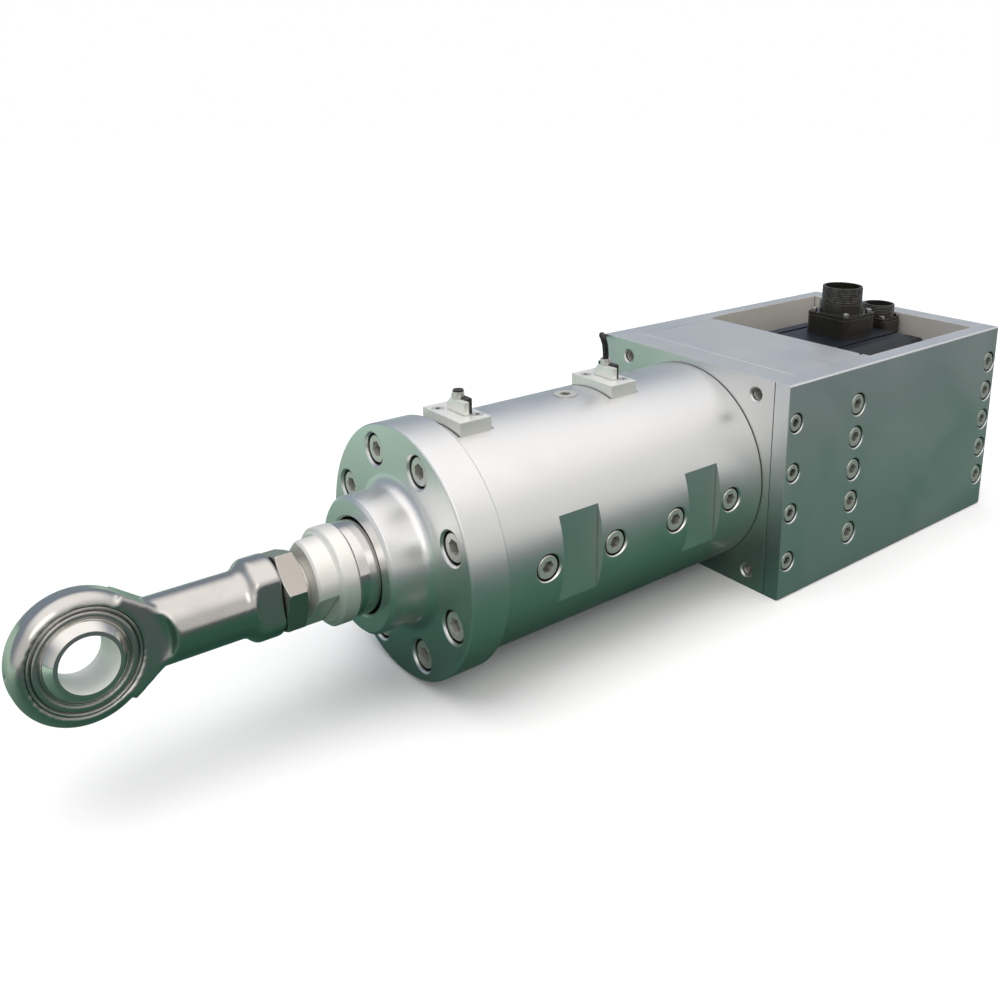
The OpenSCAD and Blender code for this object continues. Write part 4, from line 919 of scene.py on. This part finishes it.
# %% Helpers for floor and sky
def background_mask(tree, glossy_share):
    """One where the camera sees the background, and a share of it in reflections."""
    ray = add_node(tree, "ShaderNodeLightPath")
    direct = maths(tree, "MAXIMUM", ray.outputs["Is Camera Ray"],
                   ray.outputs["Is Transmission Ray"])
    mirrored = maths(tree, "MULTIPLY", ray.outputs["Is Glossy Ray"], glossy_share)
    return maths(tree, "MAXIMUM", direct, mirrored)


def soft_step(tree, value, low, high):
    """Smooth rise from 0 to 1 between two values."""
    node = add_node(tree, "ShaderNodeMapRange", interpolation_type="SMOOTHSTEP")
    node.inputs["From Min"].default_value = low
    node.inputs["From Max"].default_value = high
    tree.links.new(value, node.inputs["Value"])
    return node.outputs[0]


# %% Floor
floor_half = 6
floor_gap = 0.2 * mm
floor_shape = bmesh.new()
bmesh.ops.create_grid(floor_shape, x_segments=1, y_segments=1, size=floor_half)
bmesh.ops.translate(floor_shape, verts=floor_shape.verts, vec=(0, 0, cad_low.z - floor_gap))
floor_mesh = bpy.data.meshes.new("floor")
floor_shape.to_mesh(floor_mesh)
floor_shape.free()
floor = bpy.data.objects.new("floor", floor_mesh)
scene.collection.objects.link(floor)
print("floor at z in mm:", round((cad_low.z - floor_gap) / mm, 1))

# %% Paint of the floor, white to the camera and green grey to the metal
floor_white = (0.93, 0.93, 0.93)
mirrored_green, mirrored_grey = (0.010, 0.080, 0.050), (0.065, 0.075, 0.085)
mirrored_pale = (0.36, 0.50, 0.41)
mirrored_white_share = 0.03
pale_way = (0.62, -0.74, 0)
pale_from, pale_to = 0.22, 0.75
grey_from, grey_to = 0.15, 0.75
floor_paint = bpy.data.materials.new("floor paint")
floor_paint.use_nodes = True
paint = floor_paint.node_tree
floor_shader = paint.nodes["Principled BSDF"]
floor_shader.inputs["Roughness"].default_value = 0.95
floor_shader.inputs["Specular IOR Level"].default_value = 0.0
toward_pale = add_node(paint, "ShaderNodeVectorMath", operation="DOT_PRODUCT")
toward_pale.inputs[1].default_value = pale_way
paint.links.new(object_place(paint), toward_pale.inputs[0])
pale_share = soft_step(paint, toward_pale.outputs["Value"], pale_from, pale_to)
grey_share = soft_step(paint, place_parts(paint)["Y"], grey_from, grey_to)
dark_floor = blend_colour(paint, grey_share, mirrored_green, mirrored_grey)
mirrored_floor = blend_colour(paint, pale_share, dark_floor, mirrored_pale)
seen_white = background_mask(paint, mirrored_white_share)
paint.links.new(blend_colour(paint, seen_white, mirrored_floor, floor_white),
                floor_shader.inputs["Base Color"])
floor.data.materials.append(floor_paint)
print("floor wears:", floor_paint.name)

# %% Sky
sky_top, below_horizon = (1.28, 1.25, 1.24), (0.022, 0.085, 0.055)
haze_back, haze_front = (0.27, 0.32, 0.39), (0.72, 0.72, 0.71)
haze_from, haze_to = -0.35, 0.45
horizon_from, horizon_to = -0.04, 0.04
top_from, top_to = 0.45, 0.9
world = bpy.data.worlds.new("studio sky")
world.use_nodes = True
scene.world = world
sky = world.node_tree
look = add_node(sky, "ShaderNodeTexCoord")
heading = add_node(sky, "ShaderNodeSeparateXYZ")
sky.links.new(look.outputs["Generated"], heading.inputs[0])
front_share = soft_step(sky, heading.outputs["Y"], haze_from, haze_to)
above_horizon = soft_step(sky, heading.outputs["Z"], horizon_from, horizon_to)
overhead = soft_step(sky, heading.outputs["Z"], top_from, top_to)
haze = blend_colour(sky, front_share, haze_back, haze_front)
low_sky = blend_colour(sky, above_horizon, below_horizon, haze)
room_light = sky.nodes["Background"]
room_light.inputs["Strength"].default_value = 1.0
sky.links.new(blend_colour(sky, overhead, low_sky, sky_top), room_light.inputs["Color"])
white_wall = add_node(sky, "ShaderNodeBackground")
white_wall.inputs["Color"].default_value = (1, 1, 1, 1)
white_wall.inputs["Strength"].default_value = 1.0
wall_mix = add_node(sky, "ShaderNodeMixShader")
sky.links.new(background_mask(sky, 0.0), wall_mix.inputs[0])
sky.links.new(room_light.outputs[0], wall_mix.inputs[1])
sky.links.new(white_wall.outputs[0], wall_mix.inputs[2])
sky.links.new(wall_mix.outputs[0], sky.nodes["World Output"].inputs["Surface"])
print("sky strength:", round(room_light.inputs["Strength"].default_value, 2))

# %% [markdown]
# ## Lamps
# The sky alone lights the actuator evenly. A wide soft sun from above deepens the
# shadow on the floor, and a weak one from the front lifts the dark side. The upper one
# doesn't show in reflections, where it would leave a white disc.

# %% Lamps
def soft_sun(name, way, strength, angle, colour=(1, 1, 1)):
    """Sun lamp that shines along a direction, as soft as its angle is wide."""
    data = bpy.data.lights.new(name, "SUN")
    data.energy = strength
    data.angle = math.radians(angle)
    data.color = colour
    lamp = bpy.data.objects.new(name, data)
    scene.collection.objects.link(lamp)
    lamp.rotation_mode = "QUATERNION"
    lamp.rotation_quaternion = Vector(way).to_track_quat("-Z", "Y")
    return lamp


top_light = soft_sun("top light", (-0.25, 0.1, -1.0), strength=1.1, angle=50)
top_light.visible_glossy = False
soft_sun("front light", (-0.5, -1.0, -0.8), strength=0.25, angle=30, colour=(1.0, 0.98, 0.94))

# %% [markdown]
# ## Finish
# The view transform is set to Standard.

# %% View transform
scene.view_settings.view_transform = "Standard"
